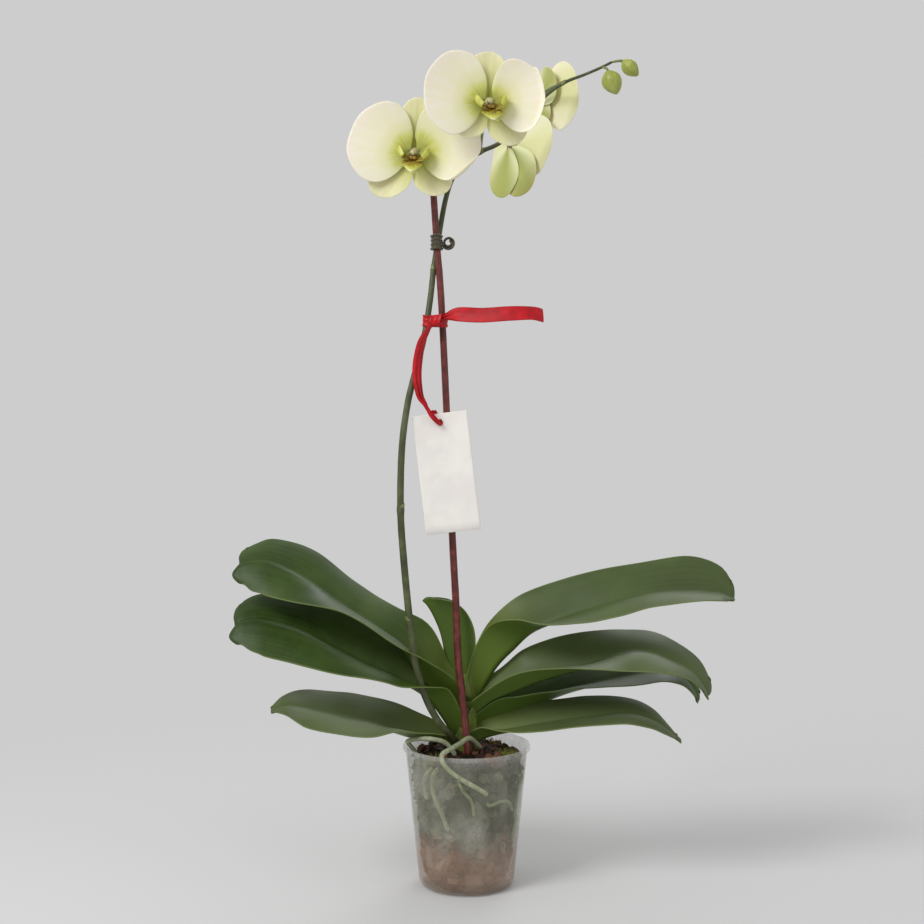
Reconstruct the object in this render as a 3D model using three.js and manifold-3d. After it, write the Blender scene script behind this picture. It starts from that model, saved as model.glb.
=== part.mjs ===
// Moth orchid (Phalaenopsis) in its clear grower's pot, with a support stake, a spring clip,
// a gift ribbon and a blank card tag. Millimetres, +Z up, origin at the centre of the pot's base,
// +X to the plant's right, -Y towards the side that the flowers face.
import * as THREE from "three";
import { mergeVertices } from "three/addons/utils/BufferGeometryUtils.js";
import Module from "manifold-3d";

const wasm = await Module();
wasm.setup();

// Driving dimensions
const gap = 0.35; // clearance between pieces that touch
const spikeGap = 0.5; // clearance round the flower spike, whose bracts stand off it
const pot = {
  height: 131, rimRadius: 60, rimLip: 2.2, mouthRadius: 57.6, footRadius: 44.5, footCorner: 6,
  wall: 1.2, floor: 1.6, drainHoles: 6, drainRadius: 3.5, drainCircle: 28,
};
const bark = { top: 119, mound: 5 };
const stem = {
  bottom: 104, top: 206, halfWide: 10.5, halfDeep: 8.5, lean: [-3, 2], sides: 16, // lean is x at its ends
  // share of the height, share of the girth
  sections: [[0, 0.35], [0.1, 0.75], [0.3, 1], [0.55, 1], [0.75, 0.8], [0.9, 0.55], [1, 0.22]],
};
const leafThick = { keel: 2.4, margin: 0.9 };
const petalThick = 1;
const ribbonThick = 1.2;
const knot = { radius: 9.5, depth: 17, stretch: 1.25, turn: 0.35, centre: [-29.5, -18.5, 529] };
const tag = {
  width: 51, height: 110, thick: 0.7, holeRadius: 2.6, holeDown: 8, tiltDeg: 6.8, foot: [-12, -35, 334],
};
const clip = {
  height: 10.5, collar: [5.4, 9.2], bore: [4, 7.6], centre: [-27.6, -10.2, 603],
  scrollRadius: 7, scrollBore: 3.2, scrollDepth: 6, scrollCentre: [-17.6, -8, 603],
};
const bract = {
  size: [3.2, 1.9], rise: [-0.6, 0.6, 1.6, 2.6], off: [0.1, 0.3, 0.55, 0.8], girth: [0.9, 0.8, 0.55, 0.15],
};
const stalk = { radius: 1.35, neckRadius: 2.2, neckAt: 0.85, standOff: 3.2, straight: 9 };

// Leaf stations from base to tip: x, y, z of the keel, half-width, then the slope in degrees of the
// near blade (towards -Y) and of the far blade. A positive slope rises from the keel.
const leaves = {
  leaf_upper_left: [
    [-5, -2, 165, 15, 62, 66], [-22, -5, 177, 23, 60, 76], [-36, -8, 189, 27, 52, 76],
    [-47, -10, 204, 31, 34, 74], [-58, -13, 222, 34, 15, 62], [-75, -16, 238, 36, 5, 36],
    [-115, -21, 265, 38, 0, 32], [-152, -25, 292, 38, -32, 34], [-182, -27, 306, 35, -50, 30],
    [-198, -28, 307, 25, -56, 26], [-207, -28, 306, 12, -56, 26], [-212, -28, 304, 3, -56, 26],
  ],
  leaf_middle_left: [
    [-11, -4, 142, 12, 60, 60], [-18, -6, 154, 18, 60, 64], [-31, -9, 173, 24, 56, 64],
    [-42, -12, 183, 29, 32, 56], [-62, -16, 195, 34, 5, 56], [-82, -20, 205, 37, -2, 52],
    [-121, -27, 226, 39, -24, 46], [-154, -32, 244, 38, -42, 40], [-186, -36, 253, 36, -50, 36],
    [-202, -37, 253, 25, -52, 36], [-210, -38, 251, 12, -52, 36], [-214, -38, 248, 3, -50, 36],
  ],
  leaf_lower_left: [
    [-10, -4, 132, 11, 40, 60], [-29, -6, 136, 18, 30, 56], [-51, -9, 141, 25, 20, 48],
    [-72, -13, 148, 31, 12, 38], [-92, -17, 155, 33, -7, 32], [-119, -23, 162, 33, -14, 30],
    [-151, -30, 171, 28, -24, 24], [-167, -34, 174, 17, -22, 20], [-176, -36, 172, 8, -20, 16],
    [-180, -37, 169, 2, -20, 16],
  ],
  leaf_centre: [
    [0, 2, 170, 13, 60, 60], [-8, 2, 196, 22, 76, 70], [-17, 1, 217, 28, 82, 74],
    [-24, 0, 236, 31, 84, 76], [-30, -1, 252, 26, 80, 74], [-36, -2, 262, 14, 70, 66],
    [-41, -2, 267, 2, 60, 60],
  ],
  leaf_upper_right: [
    [7, 2, 170, 14, 62, 62], [17, 1, 189, 20, 76, 76], [29, 0, 207, 27, 80, 80],
    [43, -2, 222, 33, 74, 78], [60, -6, 238, 35, 38, 68], [79, -9, 247, 37, 8, 60],
    [116, -13, 260, 38, -8, 52], [167, -17, 275, 38, -10, 43], [208, -19, 279, 38, -10, 49],
    [234, -20, 277, 29, -10, 50], [245, -20, 273, 15, -10, 50], [249, -20, 271, 3, -10, 50],
  ],
  leaf_middle_right: [
    [7, -2, 161, 13, 50, 56], [22, -6, 174, 20, 36, 52], [39, -9, 182, 26, 36, 52],
    [61, -13, 192, 33, 30, 56], [87, -16, 201, 36, 19, 52], [115, -19, 209, 37, 8, 45],
    [148, -22, 221, 37, -16, 16], [170, -24, 221, 35, -20, 15], [190, -26, 214, 31, -16, 18],
    [209, -27, 204, 25, -14, 28], [220, -28, 191, 15, -12, 30], [224, -28, 180, 3, -10, 30],
  ],
  leaf_under_right: [
    [7, 4, 146, 12, 56, 60], [32, 7, 156, 23, 50, 58], [52, 9, 162, 28, 35, 50],
    [75, 11, 171, 32, 22, 42], [106, 13, 181, 34, 12, 34], [152, 15, 191, 35, -3, 26],
    [185, 16, 196, 31, -8, 22], [206, 16, 191, 22, -12, 26], [218, 16, 178, 13, -12, 26],
    [222, 16, 166, 2, -10, 26],
  ],
  leaf_lower_right: [
    [3, -4, 133, 11, 50, 56], [18, -7, 141, 18, 40, 50], [36, -10, 146, 23, 15, 40],
    [59, -13, 151, 27, 2, 38], [87, -16, 156, 29, -2, 32], [115, -18, 160, 30, -3, 27],
    [148, -20, 164, 28, -6, 18], [171, -21, 159, 22, -9, 18], [187, -22, 149, 13, -10, 16],
    [200, -22, 138, 2, -10, 16],
  ],
};

// Routes of the stems, from bottom to top
const stakeRoute = [
  [3, -20, 14], [1, -20, 124], [-4, -19, 180], [-8, -19, 215], [-10, -18, 267], [-13.4, -17, 330],
  [-23, -15, 536], [-28, -14, 604], [-32.5, -13, 672],
];
const spikeRoute = [
  [-9, -9, 134], [-17, -18, 145], [-27, -27, 159], [-38, -34, 182], [-47, -40, 214], [-52, -44, 252],
  [-57.5, -45, 309], [-60.5, -44, 355], [-59.5, -40, 410], [-54.5, -36, 451], [-47, -31, 483],
  [-39, -25, 516],
  [-34, -17, 549], [-31, -10, 577], [-27, -6.2, 604], [-20, 0, 644], [-12, 4, 668], [0, 6, 681],
  [13, 8, 691], [32, 8, 700], [52, 6, 719], [70, 3, 739], [90, 0, 754], [112, 0, 763],
  [126, 0, 769], [138, 0, 775],
];
const spikeNodes = [5, 7, 13, 16, 18, 20, 22]; // spike route points that carry a bract
const stakeRadius = { bottom: 3.5, top: 3.1 };
const spikeRadius = { bottom: 3.3, top: 1.2, taper: 2.6 };

// Flowers: centre, the way each one faces, and the top sepal's lean from upright, in degrees
const flowers = {
  flower_1: {
    centre: [-48, -44, 681], facing: [-0.05, -1, -0.02], lean: 6, from: 16,
    grown: { petal_right: { turn: 24 }, sepal_lower_right: { turn: 316, length: 41 } },
  },
  flower_2: {
    centre: [20, -66, 723], facing: [0.2, -1, 0.02], lean: -2, from: 18,
    grown: {
      petal_left: { turn: 164, half: 38 }, petal_right: { turn: 10, length: 47, half: 33, bend: 11 },
      sepal_top: { length: 43, half: 19 }, sepal_lower_left: { turn: 216, length: 36 },
      sepal_lower_right: { length: 41 },
    },
  },
  flower_3: {
    centre: [74, 66, 747], facing: [0.9, 0.44, 0], lean: 0, from: 22,
    grown: {
      petal_left: { half: 33, turn: 172 }, sepal_top: { turn: 140, length: 38, half: 20, depth: -5 },
      sepal_lower_left: { length: 24, half: 13 }, sepal_lower_right: { turn: 296, length: 33 },
    },
  },
  flower_4: {
    centre: [46, 66, 708], facing: [0.74, 0.67, -0.08], lean: 0, from: 19,
    grown: {
      petal_left: { turn: 188, length: 47, half: 31, bend: 3 }, petal_right: { length: 42, bend: 18 },
      sepal_top: { length: 26 },
      sepal_lower_left: { turn: 252, length: 54, half: 23 },
      sepal_lower_right: { turn: 288, length: 50, half: 20 },
    },
  },
};
const buds = {
  bud_1: { centre: [155, 0, 769], length: 20, radius: 7.4, along: [0.7, 0, -0.7], from: [137.6, 0, 774.8] },
  bud_2: {
    centre: [137, -7, 754], length: 24, radius: 9.4, along: [0.35, -0.1, -0.9], from: [128, -1.5, 769.5],
  },
};

// Roots: free roots are x, y, z routes; wall roots start at a point in the bark and then follow the
// pot's wall through points given as an angle in degrees from -Y towards +X, and a height.
const freeRoots = {
  root_arch_left: { radius: 2.2, route: [
    [-8, -20, 112], [-12, -24, 128], [-20, -27, 138], [-31, -30, 142], [-43, -28, 142], [-52, -22, 139],
    [-55, -14, 135.5], [-49.5, -16, 129], [-45, -22, 123], [-38, -26, 112]] },
  root_over_rim: { radius: 2.3, route: [
    [13, -8, 128], [8, -16, 136], [2, -26, 142], [-6, -38, 140], [-15, -50, 137.5], [-22, -59, 135],
    [-21.5, -64.5, 129], [-14, -66, 121], [-3, -65.5, 113], [9, -64, 106], [19, -61.5, 99]] },
};
const wallRoots = {
  root_fork_left: {
    radius: 2, start: [-30, -30, 118],
    wall: [[-41, 115], [-48, 108], [-50, 98], [-48, 87]],
  },
  root_fork_right: {
    radius: 2.2, start: [-22, -34, 118],
    wall: [[-35, 114], [-38, 104], [-37, 93], [-29, 78], [-21, 61]],
  },
  root_wall_middle: {
    radius: 1.6, start: [-6, -36, 117],
    wall: [[-8, 109], [-3, 99], [5, 90], [8, 76]],
  },
  root_wall_right: {
    radius: 1.5, start: [36, 20, 114],
    wall: [[84, 105], [75, 92], [70, 78], [74, 62], [68, 46]],
  },
  root_wall_low: {
    radius: 1.4, start: [16, -34, 90],
    wall: [[24, 85], [38, 87], [52, 84], [60, 74]],
  },
  root_wall_back: {
    radius: 1.8, start: [0, 34, 114],
    wall: [[160, 105], [145, 90], [150, 72], [165, 55], [178, 43]],
  },
};

const ribbonTails = {
  // x, y, z of the middle of the band, half-width, turn of the band about its length in degrees
  right: [
    [-24, -22, 533, 3, 80], [-19, -24, 533, 4, 70], [-8, -27, 535, 7, 50], [14, -31, 533.5, 7.5, 42],
    [40, -33, 535, 7.5, 38], [60, -30, 536, 7.5, 46], [71, -26, 534, 7, 52],
  ],
  left: [
    [-30, -24, 530, 3, 10], [-36, -30, 519, 4, 20], [-42, -34, 506, 5, 30], [-46, -37, 482, 6, 60],
    [-45, -41, 461, 5, 50], [-38, -45, 446, 3.5, 40], [-31, -47, 439, 3, 30], [-24.5, -48, 434, 2.4, 20],
  ],
};

const degrees = Math.PI / 180;
const point = (xyz) => new THREE.Vector3(xyz[0], xyz[1], xyz[2]);

// Closed skin through rings of equal count; each end is closed by a fan about its middle.
function loft(rings) {
  const count = rings[0].length;
  const middle = (ring) => ring.reduce((sum, p) => sum.add(p), new THREE.Vector3()).divideScalar(count);
  const points = [...rings.flat(), middle(rings[0]), middle(rings[rings.length - 1])];
  const last = (rings.length - 1) * count;
  const index = [];
  for (let k = 0; k < count; k += 1) {
    const next = (k + 1) % count;
    for (let row = 0; row < last; row += count) {
      const [near, far] = [row + k, row + next];
      index.push(near, far, far + count, near, far + count, near + count);
    }
    index.push(points.length - 2, next, k);
    index.push(points.length - 1, last + k, last + next);
  }
  const geometry = new THREE.BufferGeometry().setFromPoints(points);
  geometry.setIndex(index);
  return geometry;
}

// A closed geometry as a solid, turned to face outwards.
function solidOf(source) {
  const bare = new THREE.BufferGeometry();
  bare.setAttribute("position", source.getAttribute("position").clone());
  bare.setIndex(source.getIndex());
  const merged = mergeVertices(bare, 1e-3);
  const vertProperties = merged.getAttribute("position").array;
  const triVerts = new Uint32Array(merged.getIndex().array);
  const make = () => new wasm.Manifold(new wasm.Mesh({ numProp: 3, vertProperties, triVerts }));
  const solid = make();
  if (solid.volume() > 0) return solid;
  for (let i = 0; i < triVerts.length; i += 3) {
    [triVerts[i + 1], triVerts[i + 2]] = [triVerts[i + 2], triVerts[i + 1]];
  }
  return make();
}

function geometryOf(solid) {
  const mesh = solid.getMesh();
  const geometry = new THREE.BufferGeometry();
  geometry.setAttribute("position", new THREE.BufferAttribute(mesh.vertProperties, mesh.numProp));
  geometry.setIndex(new THREE.BufferAttribute(mesh.triVerts, 1));
  geometry.computeVertexNormals();
  return geometry;
}

const largestBody = (solid) => solid.decompose().sort((a, b) => b.volume() - a.volume())[0];
const cutBy = (solid, cutters) => largestBody(cutters.reduce((left, cutter) => left.subtract(cutter), solid));

// Round tube along a route, with a radius that changes from end to end.
function tube(route, radiusAt, steps, sides) {
  const curve = new THREE.CatmullRomCurve3(route.map(point));
  const frames = curve.computeFrenetFrames(steps, false);
  const rings = Array.from({ length: steps + 1 }, (_, i) => {
    const along = i / steps;
    const centre = curve.getPointAt(along);
    return Array.from({ length: sides }, (__, k) => {
      const turn = (2 * Math.PI * k) / sides;
      const reach = radiusAt(along);
      return centre.clone()
        .addScaledVector(frames.normals[i], reach * Math.cos(turn))
        .addScaledVector(frames.binormals[i], reach * Math.sin(turn));
    });
  });
  return solidOf(loft(rings));
}

// Folded blade: a keel line with a flat blade on each side. Each station is x, y, z, half-width,
// slope of the blade on the side that sideWay points to, slope of the other blade.
function foldedBlade(stations, { sideWay, thick, steps, grow = 0 }) {
  const keel = new THREE.CatmullRomCurve3(stations.map(point), false, "catmullrom");
  const form = new THREE.CatmullRomCurve3(stations.map((s) => point(s.slice(3))), false, "catmullrom");
  const offsets = [-1, -0.5, 0, 0.5, 1];
  const rings = Array.from({ length: steps + 1 }, (_, i) => {
    const along = i / steps;
    const centre = keel.getPoint(along);
    const tangent = keel.getTangent(along);
    const { x: half, y: nearSlope, z: farSlope } = form.getPoint(along);
    const side = sideWay.clone().addScaledVector(tangent, -sideWay.dot(tangent)).normalize();
    const normal = new THREE.Vector3().crossVectors(side, tangent).normalize();
    if (normal.dot(stations.upWay) < 0) normal.negate();
    const edge = (offset, lift) => {
      const slope = (offset > 0 ? nearSlope : farSlope) * degrees;
      const reach = (Math.max(half, 0.5) + grow) * offset;
      return centre.clone()
        .addScaledVector(side, reach * Math.cos(slope))
        .addScaledVector(normal, Math.abs(reach) * Math.sin(slope) + lift);
    };
    const depth = (offset) => thick.keel + (thick.margin - thick.keel) * Math.abs(offset);
    const top = offsets.map((offset) => edge(offset, grow));
    const under = offsets.map((offset) => edge(offset, -depth(offset) - grow)).reverse();
    return [...top, ...under];
  });
  return solidOf(loft(rings));
}

function leafSolid(stations, grow = 0) {
  const shape = Object.assign([...stations], { upWay: new THREE.Vector3(leafSide(stations), 0, 1) });
  const steps = Math.round((stations.length - 1) * 1.5);
  return foldedBlade(shape, { sideWay: new THREE.Vector3(0, -1, 0), thick: leafThick, steps, grow });
}

// A leaf's upper face looks up and in towards the plant's axis.
const leafSide = (stations) => (stations[stations.length - 1][0] < 0 ? 1 : -1);

// Half-width of a petal at a fraction of its length: a claw that swells, then a rounded end.
function petalHalfWidth(form, s) {
  const past = Math.max(0, (s - form.widest) / (1 - form.widest));
  if (past > 0) return form.half * Math.sqrt(1 - past ** 2);
  const swell = Math.sin((Math.PI / 2) * (s / form.widest)) ** form.swell;
  return form.half * (form.claw + (1 - form.claw) * swell);
}

// Petal or sepal in its flower's own frame: +Z is the way the flower faces, +Y the top sepal.
function petal(form) {
  const across = [-1, -0.55, 0, 0.55, 1];
  const steps = 7;
  const out = new THREE.Vector3(Math.cos(form.turn * degrees), Math.sin(form.turn * degrees), 0);
  const side = new THREE.Vector3(-out.y, out.x, 0);
  const rings = Array.from({ length: steps + 1 }, (_, i) => {
    const s = 1 - (1 - i / steps) ** 1.5;
    const half = Math.max(petalHalfWidth(form, s), 0.8);
    const face = (t, lift) => out.clone()
      .multiplyScalar(form.start + form.length * s)
      .addScaledVector(side, half * t)
      .setZ(form.depth + form.bend * s * s + form.hollow * (half / form.half) * t * t + lift);
    const front = across.map((t) => face(t, petalThick / 2));
    const back = across.map((t) => face(t, -petalThick / 2)).reverse();
    return [...front, ...back];
  });
  return solidOf(loft(rings));
}

const petalForm = {
  start: 3.8, length: 58, half: 37, widest: 0.44, claw: 0.1, swell: 0.55, depth: 0.6, bend: 6, hollow: 3,
};
const sepalForm = {
  start: 3.8, length: 48, half: 17, widest: 0.5, claw: 0.2, swell: 0.9, depth: -2.4, bend: 0, hollow: 1.6,
};
const flowerPieces = {
  petal_left: { ...petalForm, turn: 167 },
  petal_right: { ...petalForm, turn: 13 },
  sepal_top: { ...sepalForm, turn: 90 },
  sepal_lower_left: { ...sepalForm, turn: 229, half: 18, hollow: 0.6 },
  sepal_lower_right: { ...sepalForm, turn: 311, half: 18, hollow: 0.6, depth: -4.7 },
};

// Lip: a channel with two raised side lobes that narrows to a pointed middle lobe.
const lipStations = Object.assign([
  [0, -4.6, 1.6, 2.6, 40, 40], [0, -7.4, 5.5, 8, 50, 50], [0, -9.4, 9.5, 9.6, 56, 56],
  [0, -11.6, 13.5, 6.6, 36, 36], [0, -13.8, 16.5, 5.4, 8, 8], [0, -16, 18.5, 2.6, 0, 0],
  [0, -17.4, 19.4, 0.7, 0, 0],
], { upWay: new THREE.Vector3(0, 1, 0) });
const lipSolid = () => foldedBlade(lipStations, {
  sideWay: new THREE.Vector3(1, 0, 0), thick: { keel: 1.2, margin: 0.8 }, steps: 12,
});

// Column: the short waxy post at the flower's centre with its rounded cap.
const columnRadii = [2.4, 2.6, 3, 3.3, 3.2, 1.2];
const columnSolid = () => tube(
  [[0, 0, -2.6], [0, 0.4, 2], [0, 0.2, 6], [0, -0.8, 9.4]],
  (along) => columnRadii[Math.round(along * (columnRadii.length - 1))], columnRadii.length - 1, 8,
);

const mixed = (from, to, along) => from + (to - from) * along;

function spikeSolid(grow = 0) {
  const radiusAt = (a) => mixed(spikeRadius.bottom, spikeRadius.top, a ** spikeRadius.taper) + grow;
  const shaft = tube(spikeRoute, radiusAt, 48, 7);
  return spikeNodes.reduce((whole, place, order) => whole.add(bractSolid(place, order, grow)), shaft);
}

// Bract: a small sheath scale that clasps the spike at a node and stands off at its tip.
function bractSolid(place, order, grow) {
  const foot = point(spikeRoute[place]);
  const rise = point(spikeRoute[place + 1]).sub(foot).normalize();
  const away = new THREE.Vector3(order % 2 ? 1 : -1, -0.3, 0);
  away.addScaledVector(rise, -away.dot(rise)).normalize();
  const size = mixed(...bract.size, place / spikeRoute.length);
  const route = bract.rise.map((up, k) => foot.clone()
    .addScaledVector(rise, up * size)
    .addScaledVector(away, bract.off[k] * size)
    .toArray());
  const steps = bract.girth.length - 1;
  return tube(route, (a) => size * bract.girth[Math.round(a * steps)] + grow, steps, 6);
}

const stakeSolid = (grow = 0) =>
  tube(stakeRoute, (a) => mixed(stakeRadius.bottom, stakeRadius.top, a) + grow, 16, 8);

// Stem: the short upright axis, wrapped in old leaf sheaths, that all leaves and roots leave from.
function stemSolid(grow = 0) {
  const rings = stem.sections.map(([along, size]) => Array.from({ length: stem.sides }, (_, k) => {
    const turn = (2 * Math.PI * k) / stem.sides;
    return new THREE.Vector3(
      mixed(...stem.lean, along) + (stem.halfWide * size + grow) * Math.cos(turn),
      (stem.halfDeep * size + grow) * Math.sin(turn),
      mixed(stem.bottom, stem.top, along),
    );
  }));
  return solidOf(loft(rings));
}

const wallRadius = (z) => mixed(pot.footRadius, pot.mouthRadius, Math.min(1, z / (pot.height - 3)));

// Pot: a thin clear cup with a rolled lip and a ring of drain holes in a flat floor.
function potSolid() {
  const corner = Array.from({ length: 4 }, (_, i) => {
    const turn = (i / 4) * (Math.PI / 2);
    const reach = pot.footRadius - pot.footCorner;
    return [reach + pot.footCorner * Math.sin(turn), pot.footCorner * (1 - Math.cos(turn))];
  });
  const lipFoot = pot.height - 4;
  const profile = [
    [0, 0], ...corner, [wallRadius(pot.footCorner + 2), pot.footCorner + 2], [wallRadius(lipFoot), lipFoot],
    [pot.rimRadius, lipFoot + 0.6], [pot.rimRadius, pot.height - 0.8], [pot.rimRadius - 0.8, pot.height],
    [pot.rimRadius - pot.rimLip, pot.height], [wallRadius(lipFoot) - pot.wall, lipFoot],
    [wallRadius(pot.footCorner + 2) - pot.wall, pot.footCorner + 2],
    [pot.footRadius - pot.footCorner, pot.floor + 0.6],
    [pot.footRadius - pot.footCorner - 4, pot.floor], [0, pot.floor],
  ];
  const cup = new THREE.LatheGeometry(profile.map(([r, z]) => new THREE.Vector2(r, z)), 40);
  cup.rotateX(Math.PI / 2);
  const drill = new THREE.CylinderGeometry(pot.drainRadius, pot.drainRadius, 4 * pot.floor, 10);
  drill.rotateX(Math.PI / 2);
  const holes = Array.from({ length: pot.drainHoles }, (_, i) => {
    const turn = (2 * Math.PI * (i + 0.5)) / pot.drainHoles;
    return solidOf(drill).translate([pot.drainCircle * Math.cos(turn), pot.drainCircle * Math.sin(turn), 0]);
  });
  return holes.reduce((body, hole) => body.subtract(hole), solidOf(cup));
}

// Bark: the packed potting mix, one solid that fills the pot to just under the rim.
function barkSolid() {
  const inside = (z) => wallRadius(z) - pot.wall - gap;
  const profile = [
    [0, pot.floor + gap], [pot.footRadius - pot.footCorner - 4.5, pot.floor + gap],
    [inside(9) - 1, 9], [inside(60) - 0.2, 60], [inside(bark.top) - 0.2, bark.top],
    [40, bark.top + 2], [20, bark.top + bark.mound], [0, bark.top + bark.mound],
  ];
  const heap = new THREE.LatheGeometry(profile.map(([r, z]) => new THREE.Vector2(r, z)), 30);
  heap.rotateX(Math.PI / 2);
  return solidOf(heap);
}

function wallRoute({ start, wall, radius }) {
  const follow = wall.map(([angle, z]) => {
    const reach = wallRadius(z) - pot.wall - radius - 3 * gap;
    return [reach * Math.sin(angle * degrees), -reach * Math.cos(angle * degrees), z];
  });
  return [start, ...follow];
}

const roots = { ...freeRoots };
for (const [name, root] of Object.entries(wallRoots)) {
  roots[name] = { radius: root.radius, route: wallRoute(root) };
}

const rootSolid = ({ route, radius }, grow = 0) => tube(
  route, (a) => radius * (a > 0.97 ? 0.6 : 1) + grow, Math.round((route.length - 1) * 2.5), 6,
);

// Card tag: a flat card with a punched hole at its top, hung just in front of the stake.
function tagSolid() {
  const { width, height, thick, holeRadius, holeDown } = tag;
  const card = new THREE.Shape([
    [-width / 2, 0], [width / 2, 0], [width / 2, height], [-width / 2, height],
  ].map(([x, y]) => new THREE.Vector2(x, y)));
  card.holes.push(new THREE.Path().absarc(0, height - holeDown, holeRadius, 0, 2 * Math.PI, true));
  const geometry = new THREE.ExtrudeGeometry(card, { depth: thick, bevelEnabled: false, curveSegments: 8 });
  return solidOf(geometry);
}

// Ribbon tail: a flat band along its route.
function tailSolid(stations) {
  const route = new THREE.CatmullRomCurve3(stations.map(point), false, "catmullrom");
  const shape = stations.map(([, , , half, turn]) => point([half, turn, 0]));
  const form = new THREE.CatmullRomCurve3(shape, false, "catmullrom");
  const steps = (stations.length - 1) * 2;
  const rings = Array.from({ length: steps + 1 }, (_, i) => {
    const centre = route.getPoint(i / steps);
    const tangent = route.getTangent(i / steps);
    const { x: half, y: turn } = form.getPoint(i / steps);
    const level = new THREE.Vector3(0, -1, 0).addScaledVector(tangent, tangent.y).normalize();
    const across = level.clone().applyAxisAngle(tangent, turn * degrees);
    const normal = new THREE.Vector3().crossVectors(tangent, across);
    return [[-1, -1], [1, -1], [1, 1], [-1, 1]].map(([u, v]) => centre.clone()
      .addScaledVector(across, u * half)
      .addScaledVector(normal, (v * ribbonThick) / 2));
  });
  return solidOf(loft(rings));
}

// Ribbon: a knotted band round stake and spike with two tails, the left one ending at the tag's hole.
function ribbonSolid(cutters) {
  const drum = new THREE.CylinderGeometry(knot.radius, knot.radius, knot.depth, 16);
  drum.scale(1, 1, knot.stretch);
  drum.rotateX(Math.PI / 2);
  drum.rotateZ(knot.turn);
  const band = solidOf(drum).translate(knot.centre);
  return cutBy(band.add(tailSolid(ribbonTails.right)).add(tailSolid(ribbonTails.left)), cutters);
}

// Clip: a collar round stake and spike with a coiled spring end at its right.
function clipSolid(cutters) {
  const oval = new THREE.Shape().absellipse(0, 0, ...clip.collar, 0, 2 * Math.PI);
  oval.holes.push(new THREE.Path().absellipse(0, 0, ...clip.bore, 0, 2 * Math.PI, true));
  const extruded = { bevelEnabled: false, curveSegments: 10 };
  const collar = new THREE.ExtrudeGeometry(oval, { ...extruded, depth: clip.height });
  collar.translate(0, 0, -clip.height / 2);
  const disc = new THREE.Shape().absarc(0, 0, clip.scrollRadius, 0, 2 * Math.PI);
  disc.holes.push(new THREE.Path().absarc(0, 0, clip.scrollBore, 0, 2 * Math.PI, true));
  const scroll = new THREE.ExtrudeGeometry(disc, { ...extruded, depth: clip.scrollDepth });
  scroll.rotateX(Math.PI / 2);
  const spring = solidOf(scroll).translate(clip.scrollCentre);
  return cutBy(solidOf(collar).translate(clip.centre).add(spring), cutters);
}

// Bud: a closed, egg-shaped flower on its own short stalk.
const budOutline = [0.3, 0.72, 0.94, 1, 0.96, 0.82, 0.58, 0.24]; // girth from its foot to its tip
const budStalk = { radius: 1, bow: [1.5, 0, 1], into: -0.42 };

function budSolid({ centre, length, radius, along, from }) {
  const steps = budOutline.length - 1;
  const way = point(along).normalize();
  const middle = point(centre);
  const route = [-0.5, 0, 0.5].map((at) => middle.clone().addScaledVector(way, at * length).toArray());
  const body = tube(route, (a) => radius * budOutline[Math.round(a * steps)], steps, 12);
  const neck = middle.clone().addScaledVector(way, budStalk.into * length);
  const start = point(from);
  const bow = start.clone().lerp(neck, 0.5).add(point(budStalk.bow));
  return body.add(tube([from, bow.toArray(), neck.toArray()], () => budStalk.radius, 5, 6));
}

// Turn that takes +Z to the way a flower faces and keeps its top sepal near upright.
function flowerTurn({ facing, lean }) {
  const front = point(facing).normalize();
  const right = new THREE.Vector3(0, 0, 1).cross(front).normalize();
  const up = new THREE.Vector3().crossVectors(front, right);
  const turn = new THREE.Quaternion().setFromRotationMatrix(new THREE.Matrix4().makeBasis(right, up, front));
  return turn.multiply(new THREE.Quaternion().setFromAxisAngle(new THREE.Vector3(0, 0, 1), -lean * degrees));
}

// Flower stalk: leaves the spike at a node and swells where it meets the back of the flower.
function pedicelSolid({ centre, facing, from }, cutter) {
  const back = point(facing).normalize().negate();
  const end = point(centre).addScaledVector(back, stalk.standOff);
  const before = end.clone().addScaledVector(back, stalk.straight);
  const start = point(spikeRoute[from]);
  const route = [start, start.clone().lerp(before, 0.45).add(new THREE.Vector3(0, 0, 3)), before, end];
  const radiusAt = (a) => (a > stalk.neckAt ? stalk.neckRadius : stalk.radius);
  return cutBy(tube(route.map((p) => p.toArray()), radiusAt, 14, 7), [cutter]);
}

const paint = (colour, roughness, metalness = 0, extra = {}) =>
  new THREE.MeshStandardMaterial({ color: colour, roughness, metalness, ...extra });
const finishes = {
  clearPlastic: paint("#c9ccc4", 0.25, 0, { transparent: true, opacity: 0.35 }),
  bark: paint("#6b4a34", 0.9),
  root: paint("#a8ac90", 0.6),
  stem: paint("#6f7f35", 0.5),
  leaf: paint("#3b4e26", 0.4),
  spike: paint("#525c3c", 0.5),
  petal: paint("#ece9d0", 0.5),
  sepal: paint("#e0e0b0", 0.5),
  lip: paint("#c8c860", 0.45),
  bud: paint("#9aa24c", 0.5),
  stake: paint("#5f2a24", 0.5),
  clip: paint("#4a4432", 0.5),
  ribbon: paint("#c01c28", 0.35),
  card: paint("#e8e4e0", 0.8),
};

function named(name, solid, finish) {
  const mesh = new THREE.Mesh(geometryOf(solid), finishes[finish].clone());
  mesh.name = name;
  return mesh;
}

function addFlower(plant, name, flower, spikeCutter) {
  const bloom = new THREE.Group();
  bloom.position.copy(point(flower.centre));
  bloom.quaternion.copy(flowerTurn(flower));
  for (const [piece, form] of Object.entries(flowerPieces)) {
    const grown = petal({ ...form, ...flower.grown[piece] });
    bloom.add(named(`${name}_${piece}`, grown, piece.startsWith("petal") ? "petal" : "sepal"));
  }
  bloom.add(named(`${name}_lip`, lipSolid(), "lip"), named(`${name}_column`, columnSolid(), "petal"));
  plant.add(bloom, named(`${name}_stalk`, pedicelSolid(flower, spikeCutter), "spike"));
}

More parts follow.
